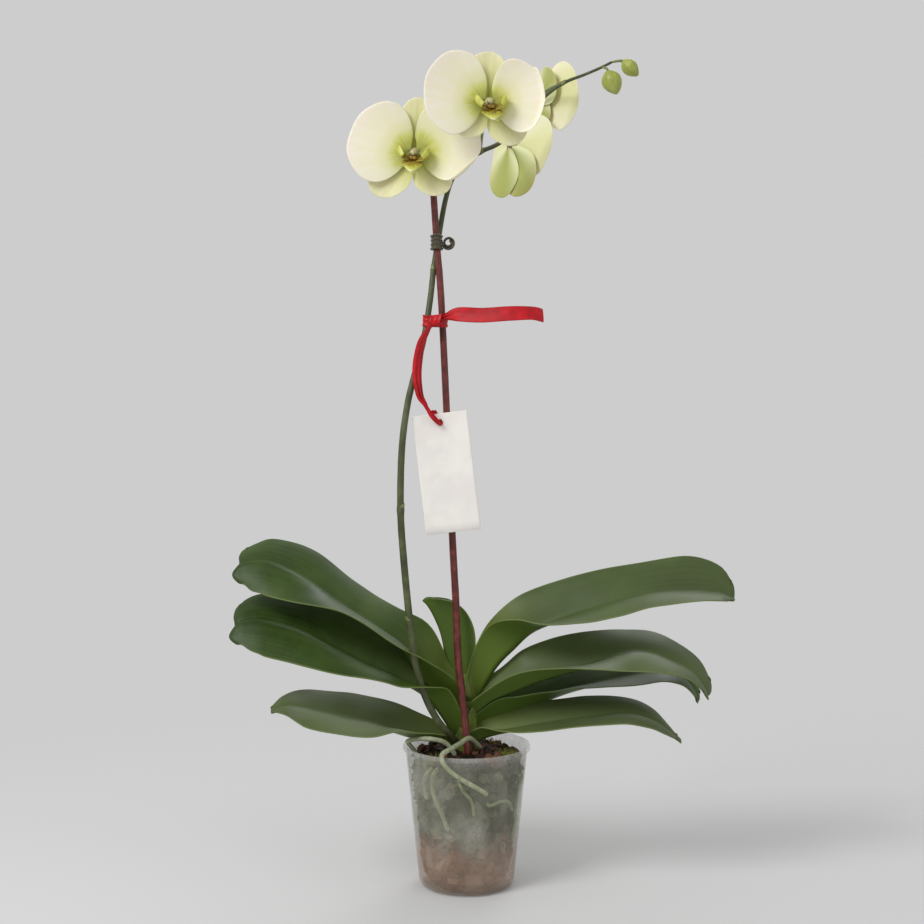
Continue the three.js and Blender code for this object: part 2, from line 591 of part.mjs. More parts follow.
// Leaves: each one is cut where it meets the stem, the stake, the spike and the leaves above it.
function addLeaves(plant, cutters) {
  const order = ["leaf_centre", "leaf_upper_right", "leaf_upper_left", "leaf_middle_right",
    "leaf_middle_left", "leaf_under_right", "leaf_lower_right", "leaf_lower_left"];
  const standing = [...cutters];
  for (const name of order) {
    plant.add(named(name, cutBy(leafSolid(leaves[name]), standing), "leaf"));
    standing.push(leafSolid(leaves[name], gap));
  }
  return standing;
}

const plant = new THREE.Group();
const growns = { stake: stakeSolid(gap), spike: spikeSolid(spikeGap), stem: stemSolid(gap) };

const leafCutters = addLeaves(plant, [growns.stake, growns.spike, growns.stem]);
plant.add(named("pot", potSolid(), "clearPlastic"));
plant.add(named("crown_stem", cutBy(stemSolid(), [growns.stake, growns.spike]), "stem"));
plant.add(named("support_stake", stakeSolid(), "stake"));
plant.add(named("flower_spike", spikeSolid(), "spike"));

const rootCutters = [growns.stem, growns.stake, growns.spike, ...leafCutters];
for (const [name, root] of Object.entries(roots)) {
  plant.add(named(name, cutBy(rootSolid(root), rootCutters), "root"));
  rootCutters.push(rootSolid(root, gap));
}
const mixCutters = [growns.stem, growns.stake, ...Object.values(roots).map((root) => rootSolid(root, gap))];
plant.add(named("potting_bark", cutBy(barkSolid(), mixCutters), "bark"));

for (const [name, flower] of Object.entries(flowers)) addFlower(plant, name, flower, growns.spike);
for (const [name, bud] of Object.entries(buds)) {
  plant.add(named(name, cutBy(budSolid(bud), [growns.spike]), "bud"));
}

plant.add(named("spike_clip", clipSolid([growns.stake, growns.spike]), "clip"));
plant.add(named("ribbon", ribbonSolid([growns.stake, growns.spike]), "ribbon"));

const card = named("tag", tagSolid(), "card");
card.position.set(...tag.foot);
card.rotation.set(Math.PI / 2, 0, 0);
card.rotateZ(tag.tiltDeg * degrees);
plant.add(card);

export default plant;
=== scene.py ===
# Potted moth orchid: clear grower's pot with bark, folded leaves, a staked spike of pale
# flowers, a satin ribbon and a blank card tag. Shapes are in millimetres, turned to metres
# when a mesh is made. +X is the plant's right, -Y the side that the flowers face.
import math
import random

import bpy
import numpy as np
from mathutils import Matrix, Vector, noise


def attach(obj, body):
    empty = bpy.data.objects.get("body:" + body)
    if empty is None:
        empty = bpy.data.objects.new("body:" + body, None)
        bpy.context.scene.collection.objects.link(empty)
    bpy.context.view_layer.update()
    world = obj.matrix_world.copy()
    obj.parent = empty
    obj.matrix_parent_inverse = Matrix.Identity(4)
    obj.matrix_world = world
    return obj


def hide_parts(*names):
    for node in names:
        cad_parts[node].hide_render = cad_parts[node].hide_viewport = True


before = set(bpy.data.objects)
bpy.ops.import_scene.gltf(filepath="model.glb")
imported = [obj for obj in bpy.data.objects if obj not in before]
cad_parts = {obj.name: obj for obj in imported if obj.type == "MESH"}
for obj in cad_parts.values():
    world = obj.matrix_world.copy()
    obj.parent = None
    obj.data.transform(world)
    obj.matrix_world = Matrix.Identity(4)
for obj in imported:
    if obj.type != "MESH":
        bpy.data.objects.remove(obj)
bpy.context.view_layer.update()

mm = 0.001


# colours and nodes
def toLinear(hexColour):
    parts = [int(hexColour[i:i + 2], 16) / 255 for i in (1, 3, 5)]
    return [p / 12.92 if p <= 0.04045 else ((p + 0.055) / 1.055) ** 2.4 for p in parts] + [1.0]


def setInputs(tree, node, links):
    # links maps an input to a value, a hex colour, a node or a socket
    for key, source in links.items():
        if isinstance(source, bpy.types.Node):
            source = source.outputs[0]
        if isinstance(source, bpy.types.NodeSocket):
            tree.links.new(source, node.inputs[key])
        elif isinstance(source, str) and source.startswith("#"):
            node.inputs[key].default_value = toLinear(source)
        else:
            node.inputs[key].default_value = source


def addNode(tree, kind, links=None, stops=None, **settings):
    # one node with its settings and links; stops are the places and colours of a ramp
    node = tree.nodes.new(kind)
    for key, value in settings.items():
        setattr(node, key, value)
    setInputs(tree, node, links or {})
    if stops:
        band = node.color_ramp
        while len(band.elements) < len(stops):
            band.elements.new(0.5)
        for element, (place, colour) in zip(band.elements, stops):
            element.position, element.color = place, toLinear(colour)
    return node


def newSurface(name, fixed):
    # a Principled surface and its coordinates; fixed holds what is the same all over it
    material = bpy.data.materials.new(name)
    material.use_nodes = True
    tree = material.node_tree
    setInputs(tree, tree.nodes["Principled BSDF"], fixed)
    return material, tree, addNode(tree, "ShaderNodeTexCoord").outputs


def grainOf(tree, source, scale, size=(1, 1, 1), detail=3.0):
    # noise on a stretched copy of the coordinates
    stretched = addNode(tree, "ShaderNodeMapping", {"Vector": source, "Scale": size})
    return addNode(tree, "ShaderNodeTexNoise",
                   {"Vector": stretched, "Scale": scale, "Detail": detail, "Roughness": 0.55})


def laidOver(tree, base, colour, where, low, high, start=0.0, end=1.0, blend="MIX"):
    # a colour over a base: its strength runs from start to end as a value runs from low to high
    strength = addNode(tree, "ShaderNodeMapRange", {
        "Value": where, "From Min": low, "From Max": high, "To Min": start, "To Max": end},
        interpolation_type="SMOOTHSTEP")
    return addNode(tree, "ShaderNodeMix", {0: strength, 6: base, 7: colour},
                   data_type="RGBA", blend_type=blend).outputs[2]


def nudged(tree, value, grain, amount):
    # a value pushed up and down by a grain, so that a border isn't straight
    push = addNode(tree, "ShaderNodeMath", {0: grain, 1: amount, 2: -amount / 2}, operation="MULTIPLY_ADD")
    return addNode(tree, "ShaderNodeMath", {0: value, 1: push}, operation="ADD")


def fromMiddle(tree, across):
    # distance from the middle line, where across runs from 0 to 1
    off = addNode(tree, "ShaderNodeMath", {0: across, 1: 0.5}, operation="SUBTRACT")
    return addNode(tree, "ShaderNodeMath", {0: off}, operation="ABSOLUTE")


def finishSurface(tree, colour, rough, height, bump, alpha=None):
    # joins what varies to the shader; rough is a grain, its low and high, and the roughness at each
    links = {"Base Color": colour, "Normal": addNode(
        tree, "ShaderNodeBump", {"Height": height, "Strength": bump[0], "Distance": bump[1]})}
    if rough:
        grain, low, high, smooth, dull = rough
        links["Roughness"] = addNode(tree, "ShaderNodeMapRange", {
            "Value": grain, "From Min": low, "From Max": high, "To Min": smooth, "To Max": dull},
            interpolation_type="SMOOTHSTEP")
    if alpha is not None:
        links["Alpha"] = alpha
    setInputs(tree, tree.nodes["Principled BSDF"], links)


# shape helpers, all in millimetres
def curveAt(stations, places):
    # smooth curve through stations of any width; places run from 0 at the first to 1 at the last
    values = np.array(stations, float)
    last = len(values) - 1
    spot = np.clip(np.atleast_1d(places), 0, 1) * last
    k = np.minimum(spot.astype(int), last - 1)
    t = (spot - k)[:, None]
    ends = np.vstack([2 * values[0] - values[1], values, 2 * values[last] - values[last - 1]])
    p0, p1, p2, p3 = ends[k], ends[k + 1], ends[k + 2], ends[k + 3]
    return 0.5 * (2 * p1 + (p2 - p0) * t + (2 * p0 - 5 * p1 + 4 * p2 - p3) * t ** 2
                  + (3 * p1 - p0 - 3 * p2 + p3) * t ** 3)


def unit(vectors):
    return vectors / np.maximum(np.linalg.norm(vectors, axis=-1, keepdims=True), 1e-9)


def lengthsAlong(points):
    return np.concatenate([[0], np.cumsum(np.linalg.norm(np.diff(points, axis=0), axis=1))])


def thickSheet(middle, thickness, spread, lift=0.5):
    # closed sheet about a grid of points, with a rounded rim; spread is each point's UV
    rows, cols = middle.shape[:2]
    normal = unit(np.cross(np.gradient(middle, axis=0), np.gradient(middle, axis=1)))
    thick = np.broadcast_to(thickness, (rows, cols))[..., None]
    upper, under = middle + normal * thick * lift, middle - normal * thick * (1 - lift)
    index = np.arange(rows * cols).reshape(rows, cols)
    loop = np.array([*index[0, :-1], *index[:-1, -1], *index[-1, :0:-1], *index[:0:-1, 0]])
    i, j = loop // cols, loop % cols
    inner = middle[np.clip(i, 1, rows - 2), np.clip(j, 1, cols - 2)]
    core = (upper + under)[i, j] / 2
    rim = core + unit(middle[i, j] - inner) * thick[i, j] * 0.5
    points = np.vstack([upper.reshape(-1, 3), under.reshape(-1, 3), rim])
    uv = spread.reshape(-1, 2)
    uv = np.vstack([uv, uv, uv[loop]])
    count = rows * cols
    a, b, c, d = index[:-1, :-1], index[1:, :-1], index[1:, 1:], index[:-1, 1:]
    faces = np.stack([a, b, c, d], -1).reshape(-1, 4).tolist()
    faces += (np.stack([d, c, b, a], -1).reshape(-1, 4) + count).tolist()
    for k in range(len(loop)):
        m = (k + 1) % len(loop)
        faces.append([loop[k], loop[m], 2 * count + m, 2 * count + k])
        faces.append([2 * count + k, 2 * count + m, loop[m] + count, loop[k] + count])
    back = np.concatenate([np.zeros(count), np.ones(count), np.full(len(loop), 0.5)])
    return {"points": points, "faces": faces, "uv": uv, "back": back}


def closedLoft(rings):
    # closed skin through rings of equal count, its ends closed on their middles
    rings = np.asarray(rings, float)
    rows, sides = rings.shape[:2]
    points = np.vstack([rings.reshape(-1, 3), rings[0].mean(0), rings[-1].mean(0)])
    faces = []
    for k in range(sides):
        m = (k + 1) % sides
        for row in range(rows - 1):
            faces.append([row * sides + k, row * sides + m, (row + 1) * sides + m, (row + 1) * sides + k])
        faces.append([rows * sides, m, k])
        faces.append([rows * sides + 1, (rows - 1) * sides + k, (rows - 1) * sides + m])
    around = np.tile(np.arange(sides) / sides, rows)
    along = np.repeat(np.linspace(0, 1, rows), sides)
    uv = np.vstack([np.stack([around, along], -1), [[0, 0], [0, 1]]])
    return {"points": points, "faces": faces, "uv": uv, "back": np.zeros(len(points))}


def levelRing(x, y, z, radius, sides):
    turn = np.linspace(0, 2 * np.pi, sides, endpoint=False)
    return np.stack([x + radius * np.cos(turn), y + radius * np.sin(turn), np.full(sides, z)], -1)


def smallTube(route, radii, sides=12, steps=24):
    # tube through a few points, with radii given at even places along it
    line = curveAt(route, np.linspace(0, 1, steps))
    reach = np.interp(np.linspace(0, 1, steps), np.linspace(0, 1, len(radii)), radii)
    ahead = unit(np.gradient(line, axis=0))
    across = np.array([0.31, 0.77, 0.55])
    rings = []
    for centre, way, radius in zip(line, ahead, reach):
        across = unit(across - way * np.dot(across, way))
        third = np.cross(way, across)
        turn = np.linspace(0, 2 * np.pi, sides, endpoint=False)[:, None]
        rings.append(centre + radius * (np.cos(turn) * across + np.sin(turn) * third))
    return closedLoft(rings)


def joined(parts):
    start, points, faces, uv, back = 0, [], [], [], []
    for part in parts:
        points.append(part["points"])
        uv.append(part["uv"])
        back.append(part["back"])
        faces += [[int(v) + start for v in face] for face in part["faces"]]
        start += len(part["points"])
    return {"points": np.vstack(points), "faces": faces, "uv": np.vstack(uv), "back": np.concatenate(back)}


def meshOf(name, part):
    mesh = bpy.data.meshes.new(name)
    mesh.from_pydata((part["points"] * mm).tolist(), [], part["faces"])
    mesh.update()
    layer = mesh.uv_layers.new(name="UVMap")
    corners = np.zeros(len(mesh.loops), int)
    mesh.loops.foreach_get("vertex_index", corners)
    layer.data.foreach_set("uv", part["uv"][corners].ravel())
    for key in ("back", "tint", "fresh"):
        if key in part:
            mesh.attributes.new(key, "FLOAT", "POINT").data.foreach_set("value", np.asarray(part[key], float))
    mesh.polygons.foreach_set("use_smooth", [True] * len(mesh.polygons))
    return mesh


def placed(name, data):
    thing = bpy.data.objects.new(name, data)
    bpy.context.scene.collection.objects.link(thing)
    return thing


def painted(mesh, material):
    mesh.materials.clear()
    mesh.materials.append(material)
    return mesh


def addPiece(name, slotName, *meshes):
    # one piece that stands for the frame's node of its name; each mesh in it keeps its material
    pieces = [placed(name, mesh) for mesh in meshes]
    piece = pieces[0]
    if len(pieces) > 1:
        with bpy.context.temp_override(active_object=piece, selected_editable_objects=pieces,
                                       object=piece, selected_objects=pieces):
            bpy.ops.object.join()
        piece.name = name
    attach(piece, "root")
    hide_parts(name)
    return piece


# Geometry Nodes: the tree that sweeps stems and roots, and the one that scatters chips
def newTree(name, inputs):
    tree = bpy.data.node_groups.new(name, "GeometryNodeTree")
    tree.interface.new_socket("Geometry", in_out="INPUT", socket_type="NodeSocketGeometry")
    for label, kind in inputs:
        tree.interface.new_socket(label, in_out="INPUT", socket_type="NodeSocket" + kind)
    tree.interface.new_socket("Geometry", in_out="OUTPUT", socket_type="NodeSocketGeometry")
    return tree, addNode(tree, "NodeGroupInput").outputs, addNode(tree, "NodeGroupOutput")


def meshMade(thing):
    # the plain mesh that an object's modifiers make; the object itself goes
    graph = bpy.context.evaluated_depsgraph_get()
    made = bpy.data.meshes.new_from_object(
        thing.evaluated_get(graph), preserve_all_data_layers=True, depsgraph=graph)
    bpy.data.objects.remove(thing)
    return made


def grownBy(tree, mesh, values):
    # runs the tree on a mesh and gives back the plain mesh that it makes
    carrier = placed(tree.name, mesh)
    modifier = carrier.modifiers.new(tree.name, "NODES")
    modifier.node_group = tree
    for item in tree.interface.items_tree:
        if item.item_type == "SOCKET" and item.in_out == "INPUT" and item.name in values:
            modifier[item.identifier] = values[item.name]
    return meshMade(carrier)


def finishTree(tree, given, result, shape):
    whole = addNode(tree, "GeometryNodeRealizeInstances", {"Geometry": shape})
    finished = addNode(tree, "GeometryNodeSetMaterial", {"Geometry": whole, "Material": given["Material"]})
    tree.links.new(finished.outputs[0], result.inputs[0])
    return tree


def scatterOver(tree, given, shapes, density, leans, sizes, length, seed=0, pick=False):
    # shapes set over a surface at least a spacing apart; leans and sizes are least, most and seed
    lean, size = [addNode(tree, "FunctionNodeRandomValue", {"Min": low, "Max": high, "Seed": draw},
                          data_type="FLOAT_VECTOR") for low, high, draw in (leans, sizes)]
    spots = addNode(tree, "GeometryNodeDistributePointsOnFaces", {
        "Mesh": given["Geometry"], "Distance Min": given["Spacing"], "Density Max": density, "Seed": seed},
        distribute_method="POISSON")
    turned = addNode(tree, "FunctionNodeRotateRotation", {
        "Rotation": spots.outputs["Rotation"],
        "Rotate By": addNode(tree, "FunctionNodeEulerToRotation", {"Euler": lean})}, rotation_space="LOCAL")
    scaled = addNode(tree, "ShaderNodeVectorMath", {0: size, "Scale": length}, operation="SCALE")
    return addNode(tree, "GeometryNodeInstanceOnPoints", {
        "Points": spots.outputs["Points"], "Instance": shapes, "Pick Instance": pick,
        "Rotation": turned, "Scale": scaled})


def makeStemTree():
    tree, given, result = newTree("sweptStem", [("Sides", "Int"), ("Material", "Material")])
    line = addNode(tree, "GeometryNodeMeshToCurve", {"Mesh": given["Geometry"]})
    girth = addNode(tree, "GeometryNodeInputNamedAttribute", {"Name": "girth"})
    ring = addNode(tree, "GeometryNodeCurvePrimitiveCircle", {"Resolution": given["Sides"], "Radius": 1.0})
    skin = addNode(tree, "GeometryNodeCurveToMesh",
                   {"Curve": line, "Profile Curve": ring, "Scale": girth, "Fill Caps": True})
    smooth = addNode(tree, "GeometryNodeSetShadeSmooth", {"Geometry": skin, "Shade Smooth": True})
    return finishTree(tree, given, result, smooth)


def makeChipTree():
    tree, given, result = newTree("scatteredChips", [
        ("Spacing", "Float"), ("Chip Length", "Float"), ("Tilt", "Float"), ("Seed", "Int"),
        ("Material", "Material")])
    shapes = addNode(tree, "GeometryNodeJoinGeometry")
    for kind in range(4):  # four broken chip shapes to pick from
        block = addNode(tree, "GeometryNodeMeshCube", {
            "Size": (1, 0.5 + 0.12 * kind, 0.3), "Vertices X": 4, "Vertices Y": 3, "Vertices Z": 2})
        where = addNode(tree, "GeometryNodeInputPosition")
        rough = addNode(tree, "ShaderNodeTexNoise", {
            "Vector": where, "W": 3.7 * kind, "Scale": 1.9, "Detail": 2.0}, noise_dimensions="4D")
        centred = addNode(tree, "ShaderNodeVectorMath", {0: rough.outputs["Color"], 1: (0.5, 0.5, 0.5)},
                          operation="SUBTRACT")
        pushed = addNode(tree, "ShaderNodeVectorMath", {0: centred, "Scale": 0.85}, operation="SCALE")
        broken = addNode(tree, "GeometryNodeSetPosition", {"Geometry": block, "Offset": pushed})
        packed = addNode(tree, "GeometryNodeGeometryToInstance", {"Geometry": broken})
        tree.links.new(packed.outputs[0], shapes.inputs[0])
    back = addNode(tree, "ShaderNodeMath", {0: given["Tilt"], 1: -1.0}, operation="MULTIPLY")
    low = addNode(tree, "ShaderNodeCombineXYZ", {"X": back, "Y": back})
    high = addNode(tree, "ShaderNodeCombineXYZ", {"X": given["Tilt"], "Y": given["Tilt"], "Z": 6.283})
    chips = scatterOver(tree, given, shapes, 60000.0, (low, high, given["Seed"]),
                        ((0.55, 0.6, 0.6), (1.25, 1.2, 1.3), 5), given["Chip Length"], given["Seed"], True)
    shade = addNode(tree, "FunctionNodeRandomValue", {"Seed": 11}, data_type="FLOAT")
    toned = addNode(tree, "GeometryNodeStoreNamedAttribute",
                    {"Geometry": chips, "Name": "tint", "Value": shade.outputs[1]}, domain="INSTANCE")
    return finishTree(tree, given, result, toned)


stemTree, chipTree = makeStemTree(), makeChipTree()
print("node trees ready")


# materials
def makeLeafSurface():
    # Orchid leaf: thick, waxy and grown smooth. Dark green with fine lengthwise veins, a paler keel
    # and rim, a yellow-green foot, and a lighter, duller underside.
    tone = {"deep": "#22350F", "main": "#35491A", "worn": "#47592A", "foot": "#8A9A32",
            "agedAndLit": "#66704A", "under": "#546C28", "rim": "#74824C"}
    material, tree, place = newSurface("waxyLeaf", {
        "Specular IOR Level": 0.24, "Coat Weight": 0.05, "Coat Roughness": 0.4, "IOR": 1.45})
    uv = addNode(tree, "ShaderNodeSeparateXYZ", {"Vector": place["UV"]})
    off = fromMiddle(tree, uv.outputs[0])
    back, worn, fresh = [addNode(tree, "ShaderNodeAttribute", attribute_name=name).outputs["Fac"]
                         for name in ("back", "tint", "fresh")]
    cloud = grainOf(tree, place["Object"], 16, (1, 1, 1), 4.0)
    veins = grainOf(tree, place["UV"], 1.0, (46, 1.6, 1), 2.0)  # veins about 1.5 mm apart
    colour = addNode(tree, "ShaderNodeValToRGB", {"Fac": cloud},
                     stops=[(0.3, tone["deep"]), (0.52, tone["main"]), (0.72, tone["worn"])])
    colour = laidOver(tree, colour, tone["worn"], veins, 0.42, 0.6, 0.0, 0.22)
    # partly painted light: a lighter, duller tone over the whole leaf, as strong as the leaf's worn value, so
    # that some leaves look more brightly lit
    colour = laidOver(tree, colour, tone["agedAndLit"], worn, 0.0, 1.0, 0.0, 0.8)
    colour = laidOver(tree, colour, tone["worn"], off, 0.0, 0.022, 0.35, 0.0)  # the keel
    young = addNode(tree, "ShaderNodeMath", {0: fresh, 1: 0.9}, operation="MULTIPLY")
    colour = laidOver(tree, colour, tone["foot"], uv.outputs[1], 0.02, 0.4, young, 0.0)
    colour = laidOver(tree, colour, tone["under"], back, 0.5, 1.0, 0.0, 0.75)
    colour = laidOver(tree, colour, tone["rim"], off, 0.485, 0.5, 0.0, 0.55)
    finishSurface(tree, colour, (cloud, 0.3, 0.75, 0.42, 0.56), veins, (0.35, 0.0004))
    return material


def makePetalSurface(name, tone):
    # Orchid petal: waxy white-cream tissue with fine veins fanning from the foot and a green-yellow throat
    material, tree, place = newSurface(name, {
        "Specular IOR Level": 0.3, "Subsurface Weight": 0.15, "Subsurface Scale": 0.003,
        "Sheen Weight": 0.12, "Sheen Roughness": 0.5})
    uv = addNode(tree, "ShaderNodeSeparateXYZ", {"Vector": place["UV"]})
    off = fromMiddle(tree, uv.outputs[0])
    back = addNode(tree, "ShaderNodeAttribute", attribute_name="back").outputs["Fac"]
    veins = grainOf(tree, place["UV"], 1.0, (34, 2.2, 1), 2.0)
    cloud = grainOf(tree, place["Object"], 55, (1, 1, 1), 2.0)
    face = addNode(tree, "ShaderNodeValToRGB", {"Fac": nudged(tree, uv.outputs[1], cloud, 0.14)},
                   stops=tone["face"])
    face = laidOver(tree, face, tone["vein"], veins, 0.4, 0.62, 0.0, 0.3)
    face = laidOver(tree, face, tone["backRib"], off, 0.0, 0.16, tone["ridge"], 0.0)
    behind = laidOver(tree, tone["back"], tone["backRib"], off, 0.04, 0.36, 0.85, 0.0)
    finishSurface(tree, laidOver(tree, face, behind, back, 0.5, 1.0), (cloud, 0.3, 0.7, 0.5, 0.62),
                  veins, (0.3, 0.00035))
    return material


def makeLipSurface():
    # Orchid lip: waxy yellow-green tissue, freckled brown round the callus, paler at its rim
    material, tree, place = newSurface("freckledLip", {
        "Specular IOR Level": 0.35, "Subsurface Weight": 0.12, "Subsurface Scale": 0.002})
    depth = addNode(tree, "ShaderNodeAttribute", attribute_name="tint")  # 0 at the callus, 1 at the rim
    spots = addNode(tree, "ShaderNodeTexVoronoi", {"Vector": place["Object"], "Scale": 620.0})
    cloud = grainOf(tree, place["Object"], 160)
    ground = addNode(tree, "ShaderNodeValToRGB", {"Fac": depth.outputs["Fac"]}, stops=[
        (0.0, "#8A5E1E"), (0.25, "#94862A"), (0.5, "#A2A43A"), (0.78, "#C6C85C"), (1.0, "#F2EEDC")])
    thinning = addNode(tree, "ShaderNodeMapRange", {
        "Value": depth.outputs["Fac"], "From Min": 0.34, "From Max": 0.72, "To Min": 0.9, "To Max": 0.0},
        interpolation_type="SMOOTHSTEP")
    freckled = laidOver(tree, ground, "#6E3A14", spots, 0.25, 0.6, thinning, 0.0)
    finishSurface(tree, freckled, (cloud, 0.3, 0.7, 0.36, 0.5), cloud, (0.25, 0.0003))
    return material


def makeStemSurface(name, tone, rough=(0.42, 0.58), grain=(1, 1, 0.12), scale=420, relief=(0.4, 0.0003)):
    # Grown or cut stem: streaks run along it, with larger clouds of tone
    material, tree, place = newSurface(name, {"Specular IOR Level": 0.4})
    streak = grainOf(tree, place["Object"], scale, grain)
    cloud = grainOf(tree, place["Object"], scale / 7)
    base = addNode(tree, "ShaderNodeValToRGB", {"Fac": cloud},
                   stops=[(0.3, tone[0]), (0.5, tone[1]), (0.7, tone[2])])
    streaked = laidOver(tree, base, tone[3], streak, 0.45, 0.7, 0.0, 0.6)
    finishSurface(tree, streaked, (cloud, 0.3, 0.7, *rough), streak, relief)
    return material


def makeBarkSurface():
    # Pine bark potting mix: broken chips, dull and fibrous, each of its own tone; damp and greenish
    # in the upper part of the pot, dry pinkish brown in the lower part
    material, tree, place = newSurface("pineBark", {"Specular IOR Level": 0.25})
    height = addNode(tree, "ShaderNodeSeparateXYZ", {"Vector": place["Object"]}).outputs[2]
    tint = addNode(tree, "ShaderNodeAttribute", attribute_name="tint").outputs["Fac"]
    fibre = grainOf(tree, place["Object"], 700, (1, 1, 0.35), 5.0)
    cloud = grainOf(tree, place["Object"], 38, (1, 1, 1), 2.0)
    dry, damp, top = [addNode(tree, "ShaderNodeValToRGB", {"Fac": tint}, stops=stops) for stops in (
        [(0.0, "#4A2E20"), (0.35, "#7A5440"), (0.65, "#A07A66"), (1.0, "#C09A86")],
        [(0.0, "#20201A"), (0.4, "#4A4A38"), (0.75, "#6C6C54"), (1.0, "#84846C")],
        [(0.0, "#1C120C"), (0.4, "#3A2418"), (0.8, "#5E3C28"), (1.0, "#7A5640")])]
    colour = laidOver(tree, dry, damp, nudged(tree, height, cloud, 0.07), 0.042, 0.06)
    colour = laidOver(tree, colour, top, height, 0.113, 0.119)
    colour = laidOver(tree, colour, "#2A1A12", fibre, 0.4, 0.7, 0.0, 0.5, "MULTIPLY")
    finishSurface(tree, colour, (fibre, 0.3, 0.7, 0.7, 0.95), fibre, (0.8, 0.0006))
    return material


def makePotSurface():
    # Clear polypropylene, moulded: milky, with a film of damp and algae inside that thins out near the
    # rim, and brown bark dust on the lower part
    material, tree, place = newSurface("clearPolypropylene", {
        "IOR": 1.49, "Specular IOR Level": 0.5, "Coat Weight": 0.15, "Coat Roughness": 0.3})
    height = addNode(tree, "ShaderNodeSeparateXYZ", {"Vector": place["Object"]}).outputs[2]
    film = grainOf(tree, place["Object"], 34, (1, 1, 0.75), 4.0)
    drops = grainOf(tree, place["Object"], 520, (1, 1, 0.6), 2.0)
    milk = addNode(tree, "ShaderNodeValToRGB", {"Fac": film}, stops=[
        (0.32, "#858673"), (0.5, "#A2A292"), (0.68, "#BCBAAE")])
    dusty = laidOver(tree, milk, "#BE9A84", nudged(tree, height, film, 0.09), 0.028, 0.062, 0.6, 0.0)
    colour = laidOver(tree, dusty, "#C6C4BE", height, 0.118, 0.13)
    thick, beaded = [addNode(tree, "ShaderNodeMapRange", {
        "Value": grain, "From Min": 0.3, "From Max": high, "To Min": clearest, "To Max": milkiest},
        interpolation_type="SMOOTHSTEP")
        for grain, high, clearest, milkiest in ((film, 0.7, 0.24, 0.4), (drops, 0.75, -0.05, 0.06))]
    veil = addNode(tree, "ShaderNodeMath", {0: thick, 1: beaded}, operation="ADD")
    finishSurface(tree, colour, (film, 0.3, 0.7, 0.34, 0.5), drops, (0.08, 0.0002), veil)
    return material


def makeRibbonSurface():
    # Polyester satin ribbon: woven with long floats, so it has a soft lengthwise gloss and a firm selvedge
    material, tree, place = newSurface("satinRibbon", {"Specular IOR Level": 0.3, "Anisotropic": 0.5})
    uv = addNode(tree, "ShaderNodeSeparateXYZ", {"Vector": place["UV"]})
    threads = grainOf(tree, place["UV"], 1.0, (70, 3, 1), 1.0)  # drawn at 0.2 mm, coarser than real
    cloud = grainOf(tree, place["Object"], 90)
    colour = addNode(tree, "ShaderNodeValToRGB", {"Fac": cloud},
                     stops=[(0.3, "#9C0612"), (0.5, "#B40A16"), (0.7, "#C6101C")])
    colour = laidOver(tree, colour, "#8A0E18", threads, 0.4, 0.65, 0.0, 0.25)
    colour = laidOver(tree, colour, "#96101C", fromMiddle(tree, uv.outputs[0]), 0.44, 0.46, 0.0, 0.45)
    finishSurface(tree, colour, (cloud, 0.3, 0.7, 0.4, 0.5), threads, (0.3, 0.0002))
    return material


def makeCardSurface():
    # Uncoated white card: dull, with faint fibres pressed into it
    material, tree, place = newSurface("uncoatedCard", {"Specular IOR Level": 0.3, "Roughness": 0.85})
    fibre = grainOf(tree, place["Object"], 900, (1, 1, 0.3))
    paper = laidOver(tree, "#E6E1DC", "#EEEAE4", grainOf(tree, place["Object"], 45), 0.3, 0.7)
    flecked = laidOver(tree, paper, "#CFC8C0", fibre, 0.55, 0.75, 0.0, 0.2)
    finishSurface(tree, flecked, None, fibre, (0.15, 0.0001))
    return material


